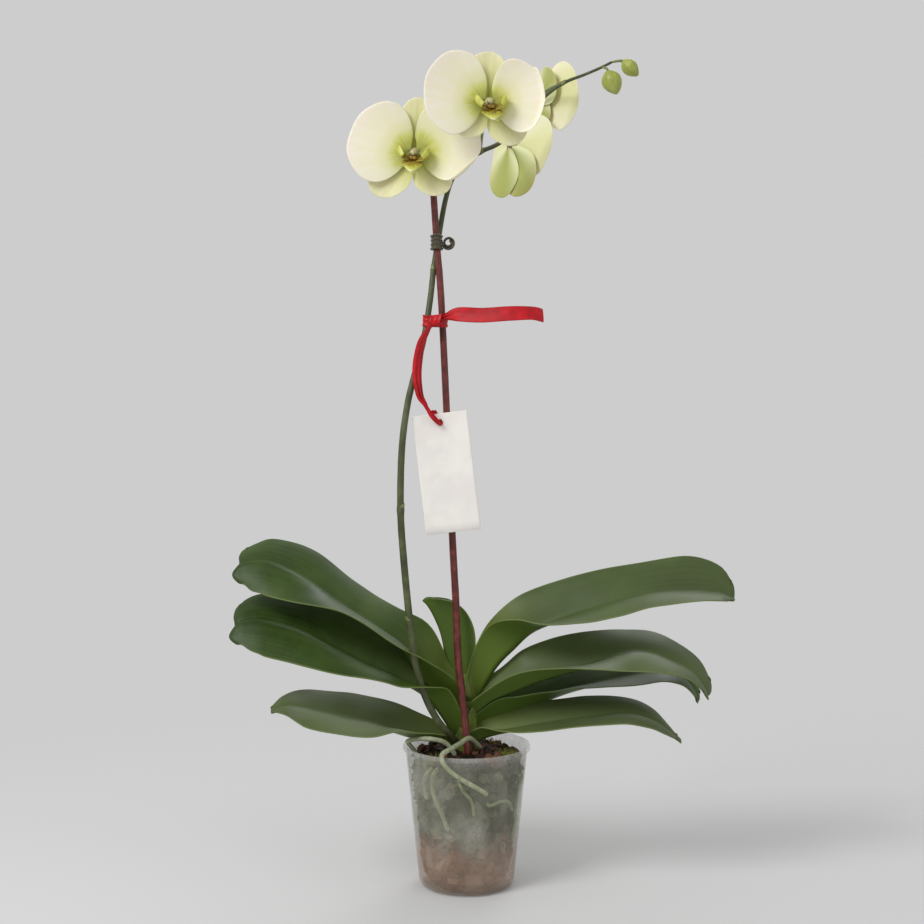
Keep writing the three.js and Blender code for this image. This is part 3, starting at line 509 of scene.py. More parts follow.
petalTone = {
    "face": [(0.0, "#8A9028"), (0.15, "#A2A736"), (0.26, "#C4C762"), (0.38, "#DEDCAA"), (0.56, "#E9E5CA"),
             (1.0, "#EDE5D8")],
    "vein": "#E2E0B4", "back": "#E6E3C6", "backRib": "#D3D59A", "ridge": 0.0}
sepalTone = {
    "face": [(0.0, "#8C9430"), (0.16, "#A9AF44"), (0.36, "#D2D58C"), (0.65, "#E6E4B2"), (1.0, "#EDE9CA")],
    "vein": "#D0D490", "back": "#D8DAAA", "backRib": "#98A044", "ridge": 0.25}
looks = {
    "leaf": makeLeafSurface(),
    "petal": makePetalSurface("waxyPetal", petalTone),
    "sepal": makePetalSurface("waxySepal", sepalTone),
    "lip": makeLipSurface(),
    # flower column: waxy, dull cream over olive
    "column": makeStemSurface("waxyColumn", ["#A49A62", "#B9B084", "#CFC7A8", "#8C8440"], (0.35, 0.45)),
    # flower spike: smooth green stem, clouded olive and purple-brown
    "spike": makeStemSurface("spikeSkin", ["#353D22", "#454E2C", "#5C6542", "#463A28"]),
    "spikeTop": makeStemSurface("stalkSkin", ["#5C6440", "#79804F", "#949A62", "#5A5238"]),
    "stem": makeStemSurface("sheathedStem", ["#4A5A20", "#66782A", "#84923C", "#8C8250"], (0.45, 0.65)),
    # aerial root: dry velamen, silvery over green, finely pitted
    "root": makeStemSurface("silveryRoot", ["#7E866A", "#969C7E", "#B2B49A", "#6C7454"], (0.6, 0.8),
                            (1, 1, 0.5), 420, (0.8, 0.0006)),
    # root behind the pot's wall: damp velamen, greener and brighter
    "wetRoot": makeStemSurface("dampRoot", ["#8E9E60", "#AEBC84", "#CED4AC", "#7E9050"], (0.4, 0.55),
                               (1, 1, 0.5), 420, (0.6, 0.0004)),
    "bud": makeStemSurface("budSkin", ["#8A9440", "#9CA44E", "#B0B666", "#7E8438"], (0.4, 0.52)),
    # stake: split cane, dipped in a red-brown stain, with lengthwise fibres
    "stake": makeStemSurface("stainedCane", ["#4E1F1C", "#652924", "#7C3A32", "#3A1614"], (0.38, 0.55),
                             (1, 1, 0.04), 900, (0.5, 0.0003)),
    # clip: moulded ABS, olive brown
    "clip": makeStemSurface("mouldedClip", ["#393424", "#4A4432", "#5E5844", "#2E2A1E"], (0.35, 0.5),
                            (1, 1, 1), 500, (0.2, 0.0002)),
    "moss": makeStemSurface("sheetMoss", ["#4C5220", "#727230", "#94903E", "#5E5A24"], (0.8, 0.95)),
    "bark": makeBarkSurface(), "pot": makePotSurface(), "ribbon": makeRibbonSurface(),
    "card": makeCardSurface(),
}
print("materials ready")


# leaves
leafShape = {"keelThick": 2.6, "marginThick": 1.1, "fold": 0.05, "groove": 0.8, "grooveWidth": 2.2,
             "belly": 0.05, "wave": 0.9, "waveLength": 21, "waveFrom": 50, "swell": 0.7, "swellLength": 24,
             "swellFrom": 60, "notchWidth": 0.3, "lobeAt": 0.55, "lobeWidth": 0.45, "rows": 60,
             "across": 33, "ease": 26, "samples": 500}
# Each leaf: stations from base to tip (keel x, y, z, half-width, slope of the near blade and of the far
# blade in degrees), the station where the tip's cap starts, the notch's depth and how far the near lobe
# outreaches the far one. worn is how much of a lighter, duller tone lies over the leaf, partly painted
# light that makes the upper right-hand and centre leaves look more brightly lit; fresh is how yellow its foot
# is.
# fold, in place of leafShape's own, is how softly the blade folds at its keel.
leaves = {
    "leaf_upper_left": {"worn": 0.0, "fresh": 0.45, "end": 9.75, "notch": 3, "lobe": 6, "stations": [
        [-5, -2, 165, 15, 62, 66], [-22, -5, 177, 23, 60, 76], [-36, -8, 189, 27, 52, 76],
        [-47, -10, 204, 31, 34, 74], [-58, -13, 222, 34, 15, 62], [-75, -16, 238, 36, 5, 36],
        [-115, -21, 265, 38, 0, 32], [-152, -25, 292, 38, -32, 34], [-182, -27, 306, 35, -50, 30],
        [-198, -28, 307, 30, -56, 26], [-207, -28, 306, 20, -56, 26], [-212, -28, 304, 8, -56, 26]]},
    "leaf_middle_left": {"worn": 0.0, "fresh": 0.3, "end": 9.75, "notch": 2.5, "lobe": 6, "stations": [
        [-11, -4, 142, 12, 60, 60], [-18, -6, 154, 18, 60, 64], [-31, -9, 173, 24, 56, 64],
        [-42, -12, 183, 29, 32, 56], [-62, -16, 195, 34, 5, 56], [-82, -20, 205, 37, -2, 52],
        [-121, -27, 226, 39, -24, 46], [-154, -32, 244, 38, -42, 40], [-186, -36, 253, 36, -50, 36],
        [-202, -37, 253, 30, -52, 36], [-210, -38, 251, 20, -52, 36], [-214, -38, 248, 8, -50, 36]]},
    "leaf_lower_left": {"worn": 0.6, "fresh": 0.3, "end": 8.6, "notch": 0, "lobe": 0, "stations": [
        [-10, -4, 132, 11, 40, 60], [-29, -6, 136, 18, 30, 56], [-51, -9, 141, 25, 20, 48],
        [-72, -13, 148, 31, 12, 38], [-92, -17, 155, 33, -7, 32], [-119, -23, 162, 33, -14, 30],
        [-151, -30, 171, 28, -24, 24], [-167, -34, 174, 17, -22, 20], [-176, -36, 172, 8, -20, 16],
        [-180, -37, 169, 2, -20, 16]]},
    "leaf_centre": {"worn": 0.35, "fresh": 0.3, "fold": 0.12, "keelThick": 1.6, "end": 5.5, "notch": 0.6,
                    "lobe": 0, "stations": [
        [-9, 2, 170, 13, 60, 56], [-18, 2, 196, 24, 74, 60], [-19.5, 1, 217, 29, 78, 62],
        [-23.5, 0, 236, 31, 79, 62], [-30, -1, 252, 26, 76, 60], [-36, -2, 262, 14, 68, 58],
        [-41, -2, 267, 2, 60, 56]]},
    "leaf_upper_right": {"worn": 0.42, "fresh": 1.0, "fold": 0.12, "end": 9.9, "notch": 0,
                         "lobe": 0, "stations": [
        [7, 2, 170, 14, 60, 58], [17, 1, 189, 20, 74, 66], [29, 0, 207, 27, 78, 68],
        [43, -2, 222, 33, 73, 69], [60, -6, 238, 35, 38, 66], [79, -9, 247, 37, 8, 60],
        [116, -13, 260, 38, -8, 52], [167, -17, 275, 38, -10, 43], [208, -19, 279, 38, -10, 49],
        [234, -20, 277, 29, -10, 50], [245, -20, 273, 15, -10, 50], [249, -20, 271, 3, -10, 50]]},
    "leaf_middle_right": {"worn": 0.5, "fresh": 0.12, "end": 10, "notch": 2, "lobe": 1.5, "stations": [
        [7, -2, 161, 13, 50, 56], [22, -6, 174, 20, 36, 52], [39, -9, 182, 26, 36, 52],
        [61, -13, 192, 33, 30, 56], [87, -16, 201, 36, 19, 52], [115, -19, 209, 37, 8, 45],
        [148, -22, 221, 37, -16, 26], [170, -24, 221, 36, -20, 27], [190, -26, 214, 32, -16, 28],
        [209, -27, 204, 25, -14, 28], [220, -28, 191, 15, -12, 30], [224, -28, 180, 3, -10, 30]]},
    "leaf_under_right": {"worn": 0.05, "fresh": 0.1, "end": 8.4, "notch": 1.5, "lobe": 0, "stations": [
        [7, 4, 146, 12, 56, 60], [32, 7, 156, 23, 50, 58], [52, 9, 162, 28, 35, 50],
        [75, 11, 171, 32, 22, 42], [106, 13, 181, 34, 12, 34], [152, 15, 191, 35, -3, 26],
        [185, 16, 196, 31, -8, 22], [206, 16, 191, 22, -12, 26], [218, 16, 178, 13, -12, 26],
        [222, 16, 166, 2, -10, 26]]},
    "leaf_lower_right": {"worn": 0.6, "fresh": 0.25, "end": 8.6, "notch": 0, "lobe": 0, "stations": [
        [3, -4, 133, 11, 50, 56], [18, -7, 141, 18, 40, 50], [36, -10, 146, 23, 15, 40],
        [59, -13, 151, 27, 2, 38], [87, -16, 156, 29, -2, 32], [115, -18, 160, 30, -3, 27],
        [148, -20, 164, 28, -6, 18], [171, -21, 159, 22, -9, 18], [187, -22, 149, 13, -10, 16],
        [200, -22, 138, 2, -10, 16]]},
}


def readAlong(values, run, where):
    # values that belong to a line's points, read at distances along it
    return np.stack([np.interp(where, run, column) for column in np.atleast_2d(values.T)], -1)


def keelFrame(keel, run, inward):
    # ahead, across and up along the keel; they turn more slowly than it does, so that a curled tip
    # doesn't fold over
    ease = leafShape["ease"]
    ahead = unit(readAlong(keel, run, run + ease) - readAlong(keel, run, run - ease))
    near = np.array([0.0, -1.0, 0.0])
    side = unit(near - ahead * (ahead @ near)[:, None])
    up = unit(np.cross(side, ahead))
    return ahead, side, up * np.sign(up[len(up) // 2] @ inward)


def arcsOf(leaf, t, share, last, whole):
    # how far along the keel each point lies: rows stop a little short of the tip, then each
    # lengthwise line runs on, so the tip is rounded, pointed or notched
    cap = (whole - last) * np.sqrt(1 - t ** 2)
    cap = cap - leaf["notch"] * np.exp(-(t / leafShape["notchWidth"]) ** 2)
    cap = cap + leaf["lobe"] * np.exp(-((t - leafShape["lobeAt"]) / leafShape["lobeWidth"]) ** 2)
    return share * last + share ** 9 * cap[None, :]


def leafPart(leaf, seed):
    stations = leaf["stations"]
    fold, keelThick = leaf.get("fold", leafShape["fold"]), leaf.get("keelThick", leafShape["keelThick"])
    places = np.linspace(0, 1, leafShape["samples"])
    table = curveAt(stations, places)
    keel = table[:, :3]
    run = lengthsAlong(keel)
    ahead, side, up = keelFrame(keel, run, [1.0 if stations[-1][0] < 0 else -1.0, 0.0, 1.0])

    t = np.sin(np.linspace(-np.pi / 2, np.pi / 2, leafShape["across"]))
    share = np.linspace(0, 1, leafShape["rows"])[:, None] ** 0.92
    last = np.interp(leaf["end"] / (len(stations) - 1), places, run)
    arc = arcsOf(leaf, t, share, last, run[-1])
    over = np.maximum(arc - run[-1], 0)[..., None]  # lobes that reach past the keel's end
    centre = readAlong(keel, run, arc) + over * ahead[-1]
    half = readAlong(table[:, 3], run, np.minimum(arc, last))[..., 0]
    slope = np.where(t > 0, *[readAlong(table[:, k], run, arc)[..., 0] for k in (4, 5)]) * math.pi / 180
    across, lift = unit(readAlong(side, run, arc)), unit(readAlong(up, run, arc))
    sign = np.where(t < 0, -1.0, 1.0)[None, :]
    bent = (np.sqrt(t ** 2 + fold ** 2) - fold) / (math.sqrt(1 + fold ** 2) - fold)
    facing = -across * (sign * np.sin(slope))[..., None] + lift * np.cos(slope)[..., None]
    width = across * (t * half * np.cos(slope))[..., None]
    rise = lift * (bent * half * np.sin(slope))[..., None]
    dome = leafShape["belly"] * half * 4 * np.abs(t) * (1 - np.abs(t))
    phase = random.Random(seed).uniform(0, 6.28)
    wave = leafShape["wave"] * t ** 2 * np.sin(arc / leafShape["waveLength"] + phase + sign * 0.9)
    wave *= np.clip(arc / leafShape["waveFrom"], 0, 1)
    middle = centre + width + rise + facing * (dome + wave)[..., None]
    shift = Vector((seed * 7.1, 0, 0))  # each leaf swells in its own places
    offset = np.array([[noise.noise(Vector(p) / leafShape["swellLength"] + shift) for p in row]
                       for row in middle])
    offset *= np.clip(arc / leafShape["swellFrom"], 0, 1)
    middle = middle + facing * (leafShape["swell"] * offset)[..., None]
    groove = leafShape["groove"] * leafShape["fold"] / fold
    middle -= lift * (groove * np.exp(-(t * half / leafShape["grooveWidth"]) ** 2))[..., None]
    thick = leafShape["marginThick"] + (keelThick - leafShape["marginThick"]) * (
        1 - np.abs(t)) ** 1.6 * np.clip(1.25 - share, 0.3, 1)
    spread = np.stack([np.broadcast_to(0.5 + 0.5 * t, arc.shape), arc / run[-1]], -1)
    turned = np.cross(middle[5, 3] - middle[4, 3], middle[4, 4] - middle[4, 3])
    if np.dot(turned, facing[4, 3]) < 0:
        middle, thick, spread = middle[:, ::-1], thick[:, ::-1], spread[:, ::-1]
    part = thickSheet(middle, thick, spread, 0.0)
    count = len(part["points"])
    # tint carries worn, the lighter overlay that is partly painted light
    return {**part, "tint": np.full(count, leaf["worn"]), "fresh": np.full(count, leaf["fresh"])}


for order, (name, leaf) in enumerate(leaves.items()):
    addPiece(name, "leaf", painted(meshOf(name, leafPart(leaf, order)), looks["leaf"]))
print("leaves:", len(leaves))


# stems: spike, stake, stalks and roots are swept by the stem tree
stems = {
    "stake": {"low": 3.5, "high": 3.1, "route": [
        [3, -20, 14], [1, -20, 124], [-4, -19, 180], [-8, -19, 215], [-10, -18, 267], [-13.4, -17, 330],
        [-23, -15, 536], [-28, -14, 604], [-32.5, -13, 672]]},
    "spike": {"low": 3.3, "high": 1.2, "taper": 2.6, "nodes": [5, 7, 13, 16, 18, 20, 22],
              "swell": 0.5, "route": [
        [-9, -9, 134], [-17, -18, 145], [-27, -27, 159], [-38, -34, 182], [-47, -40, 214], [-52, -44, 252],
        [-57.5, -45, 309], [-60.5, -44, 355], [-59.5, -40, 410], [-54.5, -36, 451], [-47, -31, 483],
        [-39, -25, 516], [-34, -17, 549], [-31, -10, 577], [-27, -6.2, 604], [-20, 0, 644], [-12, 4, 668],
        [0, 6, 681], [13, 8, 691], [32, 8, 700], [52, 6, 719], [70, 3, 739], [90, 0, 754], [112, 0, 763],
        [126, 0, 769], [138, 0, 775]]},
}


fineSteps = np.linspace(0, 1, 400)  # even steps fine enough to measure along a curve


def stemMesh(name, route, girthAt, step):
    # girthAt(share, distance along, whole length) gives the radius; the ends are rounded off
    rough = curveAt(route, fineSteps)
    whole = lengthsAlong(rough)[-1]
    count = max(8, int(whole / step))
    even = np.linspace(0, whole, count)
    ends = np.array([0.12, 0.5, 1.0])  # extra rings that round each end
    even = np.unique(np.concatenate([even, ends, whole - ends]))
    run = lengthsAlong(rough)
    line = np.stack([np.interp(even, run, rough[:, k]) for k in range(3)], -1)
    girth = np.array([girthAt(d / whole, d, whole) for d in even])
    edge = np.minimum(even, whole - even) / np.maximum(girth, 0.1)
    girth *= np.sqrt(1 - (1 - np.clip(edge + 0.02, 0, 1)) ** 2)
    mesh = bpy.data.meshes.new(name)
    mesh.from_pydata((line * mm).tolist(), [(k, k + 1) for k in range(len(line) - 1)], [])
    mesh.attributes.new("girth", "FLOAT", "POINT").data.foreach_set("value", girth * mm)
    return mesh


def sweptMesh(name, route, girthAt, material, sides=20, step=1.6):
    line = stemMesh(name, route, girthAt, step)
    grown = grownBy(stemTree, line, {"Sides": sides, "Material": material})
    grown.name = name
    return grown


def taper(low, high, lumps=0.0, seed=0, ease=0.9):
    def girth(share, distance, whole):
        swell = lumps * noise.noise(Vector((distance / 9, seed * 3.3, 0)))
        return (low + (high - low) * share ** ease) * (1 + swell)
    return girth


spikeLine = np.array(stems["spike"]["route"], float)
spikeRun = lengthsAlong(curveAt(spikeLine, fineSteps))
nodeRuns = [np.interp(k / (len(spikeLine) - 1), fineSteps, spikeRun) for k in stems["spike"]["nodes"]]


def spikeGirth(share, distance, whole):
    radius = taper(stems["spike"]["low"], stems["spike"]["high"], 0.03, 0, stems["spike"]["taper"])(
        share, distance, whole)
    return radius + stems["spike"]["swell"] * sum(math.exp(-((distance - n) / 3.2) ** 2) for n in nodeRuns)


def wrapSheet(foot, rise, away, radius, height, spreadAngle, flare, thick=0.45, rows=14, across=17):
    # scale or sheath that clasps a stem: its middle is tallest and stands off at the tip
    rise, away = unit(np.array(rise, float)), np.array(away, float)
    away = unit(away - rise * np.dot(rise, away))
    third = np.cross(rise, away)
    turn = np.linspace(-spreadAngle / 2, spreadAngle / 2, across) * math.pi / 180
    tall = height * (1 - np.abs(turn / turn[-1]) ** 1.6 * 0.85)
    up = np.linspace(0, 1, rows)[:, None] * tall[None, :]
    share = up / height
    out = radius + flare * share ** 1.7 - 0.25 * radius * share ** 3
    grid = (np.array(foot, float) + up[..., None] * rise
            + (out * np.cos(turn))[..., None] * away + (out * np.sin(turn))[..., None] * third)
    spread = np.stack([np.broadcast_to(turn / turn[-1] * 0.5 + 0.5, up.shape), share], -1)
    if np.dot(np.cross(grid[1, 0] - grid[0, 0], grid[0, 1] - grid[0, 0]), away) < 0:
        grid, spread = grid[:, ::-1], spread[:, ::-1]
    return thickSheet(grid, thick, spread)


stake = stems["stake"]
stakeGirth = taper(stake["low"], stake["high"], 0.035, 4, 1.0)
addPiece("support_stake", "stake",
         sweptMesh("support_stake", stake["route"], stakeGirth, looks["stake"], 24, 2.0))

scales = []
for order, place in enumerate(stems["spike"]["nodes"]):
    foot = spikeLine[place]
    rise = spikeLine[place + 1] - foot
    size = 3.2 - 1.3 * place / len(spikeLine)
    scales.append(wrapSheet(foot - unit(rise) * size * 0.4, rise, [1 if order % 2 else -1, -0.3, 0],
                            size * 1.06, size * 2.6, 230, size * 0.4))
addPiece("flower_spike", "spike", sweptMesh("flower_spike", spikeLine, spikeGirth, looks["spike"], 20, 1.8),
         painted(meshOf("bracts", joined(scales)), looks["spikeTop"]))

pot = {"height": 131, "rim": 60, "lip": 2.2, "mouth": 57.6, "foot": 44.5, "corner": 6, "wall": 1.2,
       "floor": 1.6, "drainHoles": 6, "drainRadius": 3.5, "drainCircle": 28, "sides": 96}


def wallRadius(z):
    return pot["foot"] + (pot["mouth"] - pot["foot"]) * min(1, z / (pot["height"] - 3))


def wallRoute(start, wall, radius):
    route = [start]
    for angle, z in wall:
        reach = wallRadius(z) - pot["wall"] - radius - 0.8
        route.append([reach * math.sin(math.radians(angle)), -reach * math.cos(math.radians(angle)), z])
    return route


roots = {
    "root_arch_left": {"radius": 2.2, "route": [
        [-8, -20, 112], [-12, -24, 128], [-20, -27, 138], [-31, -30, 142], [-43, -28, 142], [-52, -22, 139],
        [-55, -14, 135.5], [-49.5, -16, 129], [-45, -22, 123], [-38, -26, 112]]},
    "root_over_rim": {"radius": 2.3, "route": [
        [13, -8, 128], [8, -16, 136], [2, -26, 142], [-6, -38, 140], [-15, -50, 137.5], [-22, -59, 135],
        [-21.5, -64.5, 129], [-14, -66, 121], [-3, -65.5, 113], [9, -64, 106], [19, -61.5, 99]]},
    "root_fork_left": {"radius": 2, "start": [-30, -30, 118],
                       "wall": [[-41, 115], [-48, 108], [-50, 98], [-48, 87]]},
    "root_fork_right": {"radius": 2.2, "start": [-22, -34, 118],
                        "wall": [[-35, 114], [-38, 104], [-37, 93], [-29, 78], [-21, 61]]},
    "root_wall_middle": {"radius": 1.6, "start": [-6, -36, 117],
                         "wall": [[-8, 109], [-3, 99], [5, 90], [8, 76]]},
    "root_wall_right": {"radius": 1.5, "start": [36, 20, 114],
                        "wall": [[84, 105], [75, 92], [70, 78], [74, 62], [68, 46]]},
    "root_wall_low": {"radius": 1.4, "start": [16, -34, 90],
                      "wall": [[24, 85], [38, 87], [52, 84], [60, 74]]},
    "root_wall_back": {"radius": 1.8, "start": [0, 34, 114],
                       "wall": [[160, 105], [145, 90], [150, 72], [165, 55], [178, 43]]},
}
for order, (name, root) in enumerate(roots.items()):
    route = root.get("route") or wallRoute(root["start"], root["wall"], root["radius"])
    addPiece(name, "root", sweptMesh(name, route, taper(root["radius"], root["radius"] * 0.92, 0.09, order),
                                     looks["wetRoot" if "wall" in root else "root"], 20, 1.2))
print("stems and roots ready")


# crown stem: a short axis wrapped in old leaf sheaths
crown = {"bottom": 104, "top": 206, "halfWide": 10.5, "halfDeep": 8.5, "sections": [
    [0, 0.35], [0.1, 0.75], [0.3, 1], [0.55, 1], [0.75, 0.8], [0.9, 0.55], [1, 0.22]]}
sheaths = [  # height of the foot, the way it faces, its height, spread in degrees
    [112, [-1, -0.4, 0], 30, 200], [116, [1, -0.5, 0], 34, 200], [126, [-0.5, -1, 0], 34, 170],
    [132, [0.9, -0.8, 0], 36, 180], [142, [-0.9, 0.4, 0], 32, 180], [146, [0.4, 1, 0], 32, 190]]


def crownRing(share, grow=0.0, count=40):
    size = np.interp(share, *np.array(crown["sections"], float).T)
    turn = np.linspace(0, 2 * np.pi, count, endpoint=False)
    ring = np.zeros((count, 3))
    ring[:, 0] = -3 + 5 * share + (crown["halfWide"] * size + grow) * np.cos(turn)
    ring[:, 1] = (crown["halfDeep"] * size + grow) * np.sin(turn)
    ring[:, 2] = crown["bottom"] + (crown["top"] - crown["bottom"]) * share
    return ring


axisBody = closedLoft([crownRing(share) for share in np.linspace(0, 1, 30)])
wraps = []
for low, away, height, spreadAngle in sheaths:
    share = (low - crown["bottom"]) / (crown["top"] - crown["bottom"])
    foot = [-3 + 5 * share, 0, low]
    wraps.append(wrapSheet(foot, [0.02, 0, 1], away, 9.4, height, spreadAngle, 3.2, 0.9, 16, 25))
addPiece("crown_stem", "stem", painted(meshOf("crown_stem", joined([axisBody, *wraps])), looks["stem"]))


# flowers
petalForm = {"start": 3.8, "length": 58, "half": 37, "widest": 0.44, "claw": 0.1, "swell": 0.55, "depth": 0.6,
             "bend": 6, "hollow": 3, "thick": 1.0, "ruffle": 0.7, "waves": 5, "crease": 0.0, "roll": None}
sepalForm = {"start": 3.8, "length": 48, "half": 17, "widest": 0.5, "claw": 0.2, "swell": 0.9, "depth": -2.4,
             "bend": 0, "hollow": 1.6, "thick": 1.1, "ruffle": 0.4, "waves": 3, "crease": 0.5, "roll": None}
flowerPieces = {
    "petal_left": {**petalForm, "turn": 167},
    "petal_right": {**petalForm, "turn": 13},
    "sepal_top": {**sepalForm, "turn": 90},
    "sepal_lower_left": {**sepalForm, "turn": 229, "half": 18, "hollow": 0.6},
    "sepal_lower_right": {**sepalForm, "turn": 311, "half": 18, "hollow": 0.6, "depth": -4.7},
}
# Each flower: its centre, the way it faces, its lean, the spike point its stalk leaves from, and how
# its own pieces differ. roll is the middle and width in degrees of the rim that rolls forward, and how
# far it rolls.
flowers = {
    "flower_1": {"centre": [-48, -44, 681], "facing": [-0.05, -1, -0.02], "lean": 6, "from": 16, "grown": {
        "petal_right": {"turn": 24, "roll": [-48, 30, 150]},
        "sepal_lower_right": {"turn": 316, "length": 41}}},
    "flower_2": {"centre": [20, -66, 723], "facing": [0.2, -1, 0.02], "lean": -2, "from": 18, "grown": {
        "petal_left": {"turn": 164, "half": 38}, "sepal_top": {"length": 43, "half": 19},
        "petal_right": {"length": 47, "half": 33, "turn": 10, "bend": 11, "hollow": 6,
                        "roll": [-20, 42, 100]},
        "sepal_lower_left": {"length": 36, "turn": 216}, "sepal_lower_right": {"length": 41}}},
    "flower_3": {"centre": [74, 66, 747], "facing": [0.9, 0.44, 0], "lean": 0, "from": 22, "grown": {
        "petal_left": {"half": 33, "turn": 172},
        "sepal_top": {"turn": 140, "length": 38, "half": 20, "depth": -5},
        "sepal_lower_left": {"length": 24, "half": 13}, "sepal_lower_right": {"turn": 296, "length": 33}}},
    "flower_4": {"centre": [46, 66, 708], "facing": [0.74, 0.67, -0.08], "lean": 0, "from": 19, "grown": {
        "petal_left": {"turn": 188, "length": 47, "half": 31, "bend": 3},
        "petal_right": {"length": 42, "bend": 18},
        "sepal_top": {"length": 26}, "sepal_lower_left": {"turn": 246, "length": 54, "half": 23},
        "sepal_lower_right": {"turn": 281, "length": 50, "half": 20}}},
}


rimRoll = {"radius": 2.6, "depth": 0.13, "stretch": 1.35}  # depth is a share of the petal's reach


def petalOutline(form):
    # the rim's angles from the middle line and its reach from the foot: a claw that swells, then a
    # rounded end
    s, middle = fineSteps, form["widest"]
    swelling = np.sin(np.pi / 2 * np.minimum(s / middle, 1)) ** form["swell"]
    swelling = form["claw"] + (1 - form["claw"]) * swelling
    rounding = np.sqrt(np.maximum(0, 1 - (np.maximum(s - middle, 0) / (1 - middle)) ** 2))
    half = form["half"] * np.where(s > middle, rounding, swelling)
    length = form["length"] * s
    return np.arctan2(half, length)[::-1], np.hypot(half, length)[::-1]


def rolledRim(form, turn, far, edge):
    # where each point reaches once the rim has rolled forward, and how far it rises
    middle, width, amount = form["roll"]
    radius = rimRoll["radius"]
    strength = np.exp(-((np.degrees(turn) - middle) / width) ** 2)[None, :]
    begin = edge[None, :] * (1 - rimRoll["depth"] * strength)
    over = np.maximum(far - begin, 0) * rimRoll["stretch"]
    arc = np.minimum(over / radius, math.radians(amount)) * np.clip(strength * 1.3, 0, 1)
    rest = np.maximum(over - radius * arc, 0)
    rolled = np.where(far > begin, begin + radius * np.sin(arc) + rest * np.cos(arc), far)
    return rolled, np.where(over > 0, radius * (1 - np.cos(arc)) + rest * np.sin(arc), 0)


def petalPart(form, seed, rows=26, cols=49):
    angle, reach = petalOutline(form)
    wander = random.Random(seed)
    phase, phase2 = wander.uniform(0, 6.28), wander.uniform(0, 6.28)
    t = np.linspace(-1, 1, cols)
    turn = t * angle[-14]
    edge = np.interp(np.abs(turn), angle, reach)
    edge *= 1 + 0.012 * np.sin(4 * turn + phase) + 0.006 * np.sin(11 * turn + phase2)
    share = np.linspace(0, 1, rows)[:, None] ** 0.85 * 0.96 + 0.04
    far = share * edge[None, :]
    far, roll = rolledRim(form, turn, far, edge) if form["roll"] else (far, 0)
    x, y = far * np.cos(turn), far * np.sin(turn)
    z = (form["depth"] + form["bend"] * (x / form["length"]) ** 2 + form["hollow"] * (y / form["half"]) ** 2
         + form["ruffle"] * share ** 3 * np.sin(form["waves"] * turn + phase) + roll
         - form["crease"] * np.exp(-(y / 1.6) ** 2) * (1 - share ** 2) * 2)
    if form["crease"] == 0:
        z = z + 0.9 * np.sin(np.pi * share) * np.cos(turn * 1.1)  # a petal is gently domed
    out = math.radians(form["turn"])
    grid = np.stack([
        (form["start"] + x) * math.cos(out) - y * math.sin(out),
        (form["start"] + x) * math.sin(out) + y * math.cos(out), z], -1)
    thick = form["thick"] * (1.15 - 0.65 * share ** 2) * np.ones_like(z)
    spread = np.stack([np.broadcast_to(0.5 + 0.5 * t, z.shape),
                       np.broadcast_to(share, z.shape) * edge / edge.max()], -1)
    return thickSheet(grid, thick, spread)


def patchOf(control, rows, cols):
    # smooth patch through a grid of points
    control = np.array(control, float)
    lines = np.stack([curveAt(control[:, k], np.linspace(0, 1, rows)) for k in range(control.shape[1])], 1)
    return np.stack([curveAt(line, np.linspace(0, 1, cols)) for line in lines], 0)


lip = {
    "sideLobe": [  # from where it joins the callus out to its rim; each row from back to front
        [[1.6, -2.4, 1.4], [2.4, -4.4, 4], [2.8, -6, 7], [2.4, -7.6, 9.6]],
        [[5.4, -1.6, 2.2], [6.8, -3.4, 5.6], [6.8, -5.2, 9], [5.2, -7.2, 11.6]],
        [[8.4, 1.2, 3], [10.2, 0.4, 7], [9.8, -2.4, 11], [7.2, -5.6, 13.2]],
        [[8.6, 4.4, 3.8], [9.6, 4.6, 8], [8, 2.2, 12], [5.6, -2.8, 13.8]]],
    "midLobe": [
        [[-3.2, -4.4, 4.5], [0, -5.6, 4.8], [3.2, -4.4, 4.5]],
        [[-5, -7.2, 8.4], [0, -8.6, 8.4], [5, -7.2, 8.4]],
        [[-6.8, -10, 11.2], [0, -11.4, 12.2], [6.8, -10, 11.2]],
        [[-4.6, -13.2, 13.4], [0, -14.2, 15], [4.6, -13.2, 13.4]],
        [[-1.2, -16.6, 15.2], [0, -17, 15.8], [1.2, -16.6, 15.2]]],
    "callus": [[-0, -4.2, 4.6], [0, -4.6, 7.4], [0, -6, 9.4]],
    "tendril": [[0.5, -16.6, 15.4], [2.2, -17.6, 16.6], [3.6, -16.8, 17.6], [3, -15.4, 17.8]],
    "stretch": [1.4, 1.1, 1.05],  # wide side lobes, still clear of the petals
}


def lipPart():
    parts = []
    uv = np.stack(np.meshgrid(np.linspace(0, 1, 17), np.linspace(0, 1, 15)), -1)
    for sign in (1, -1):
        grid = patchOf(np.array(lip["sideLobe"]) * [sign, 1, 1], 15, 17)
        grid[..., 2] += 0.35 * np.sin(uv[..., 0] * 14) * uv[..., 1] ** 2
        part = thickSheet(grid, 1.0 - 0.5 * uv[..., 1], uv)
        parts.append({**part, "tint": 0.16 + 0.6 * part["uv"][:, 1]})
        tendril = smallTube(np.array(lip["tendril"]) * [sign, 1, 1], [0.45, 0.35, 0.22, 0.06], 8, 14)
        parts.append({**tendril, "tint": np.full(len(tendril["points"]), 0.7)})
    uv = np.stack(np.meshgrid(np.linspace(0, 1, 13), np.linspace(0, 1, 19)), -1)
    part = thickSheet(patchOf(lip["midLobe"], 19, 13), 1.3 - 0.6 * uv[..., 1], uv)
    parts.append({**part, "tint": 0.1 + 0.9 * part["uv"][:, 1] ** 1.5})
    for sign in (1, -1):
        bump = smallTube(np.array(lip["callus"]) + [sign * 1.1, 0, 0], [0.4, 1.5, 1.7, 0.3], 12, 14)
        parts.append({**bump, "tint": np.full(len(bump["points"]), 0.12)})
    whole = joined(parts)
    whole["points"] = whole["points"] * np.array(lip["stretch"])
    whole["tint"] = np.concatenate([p["tint"] for p in parts])
    return whole


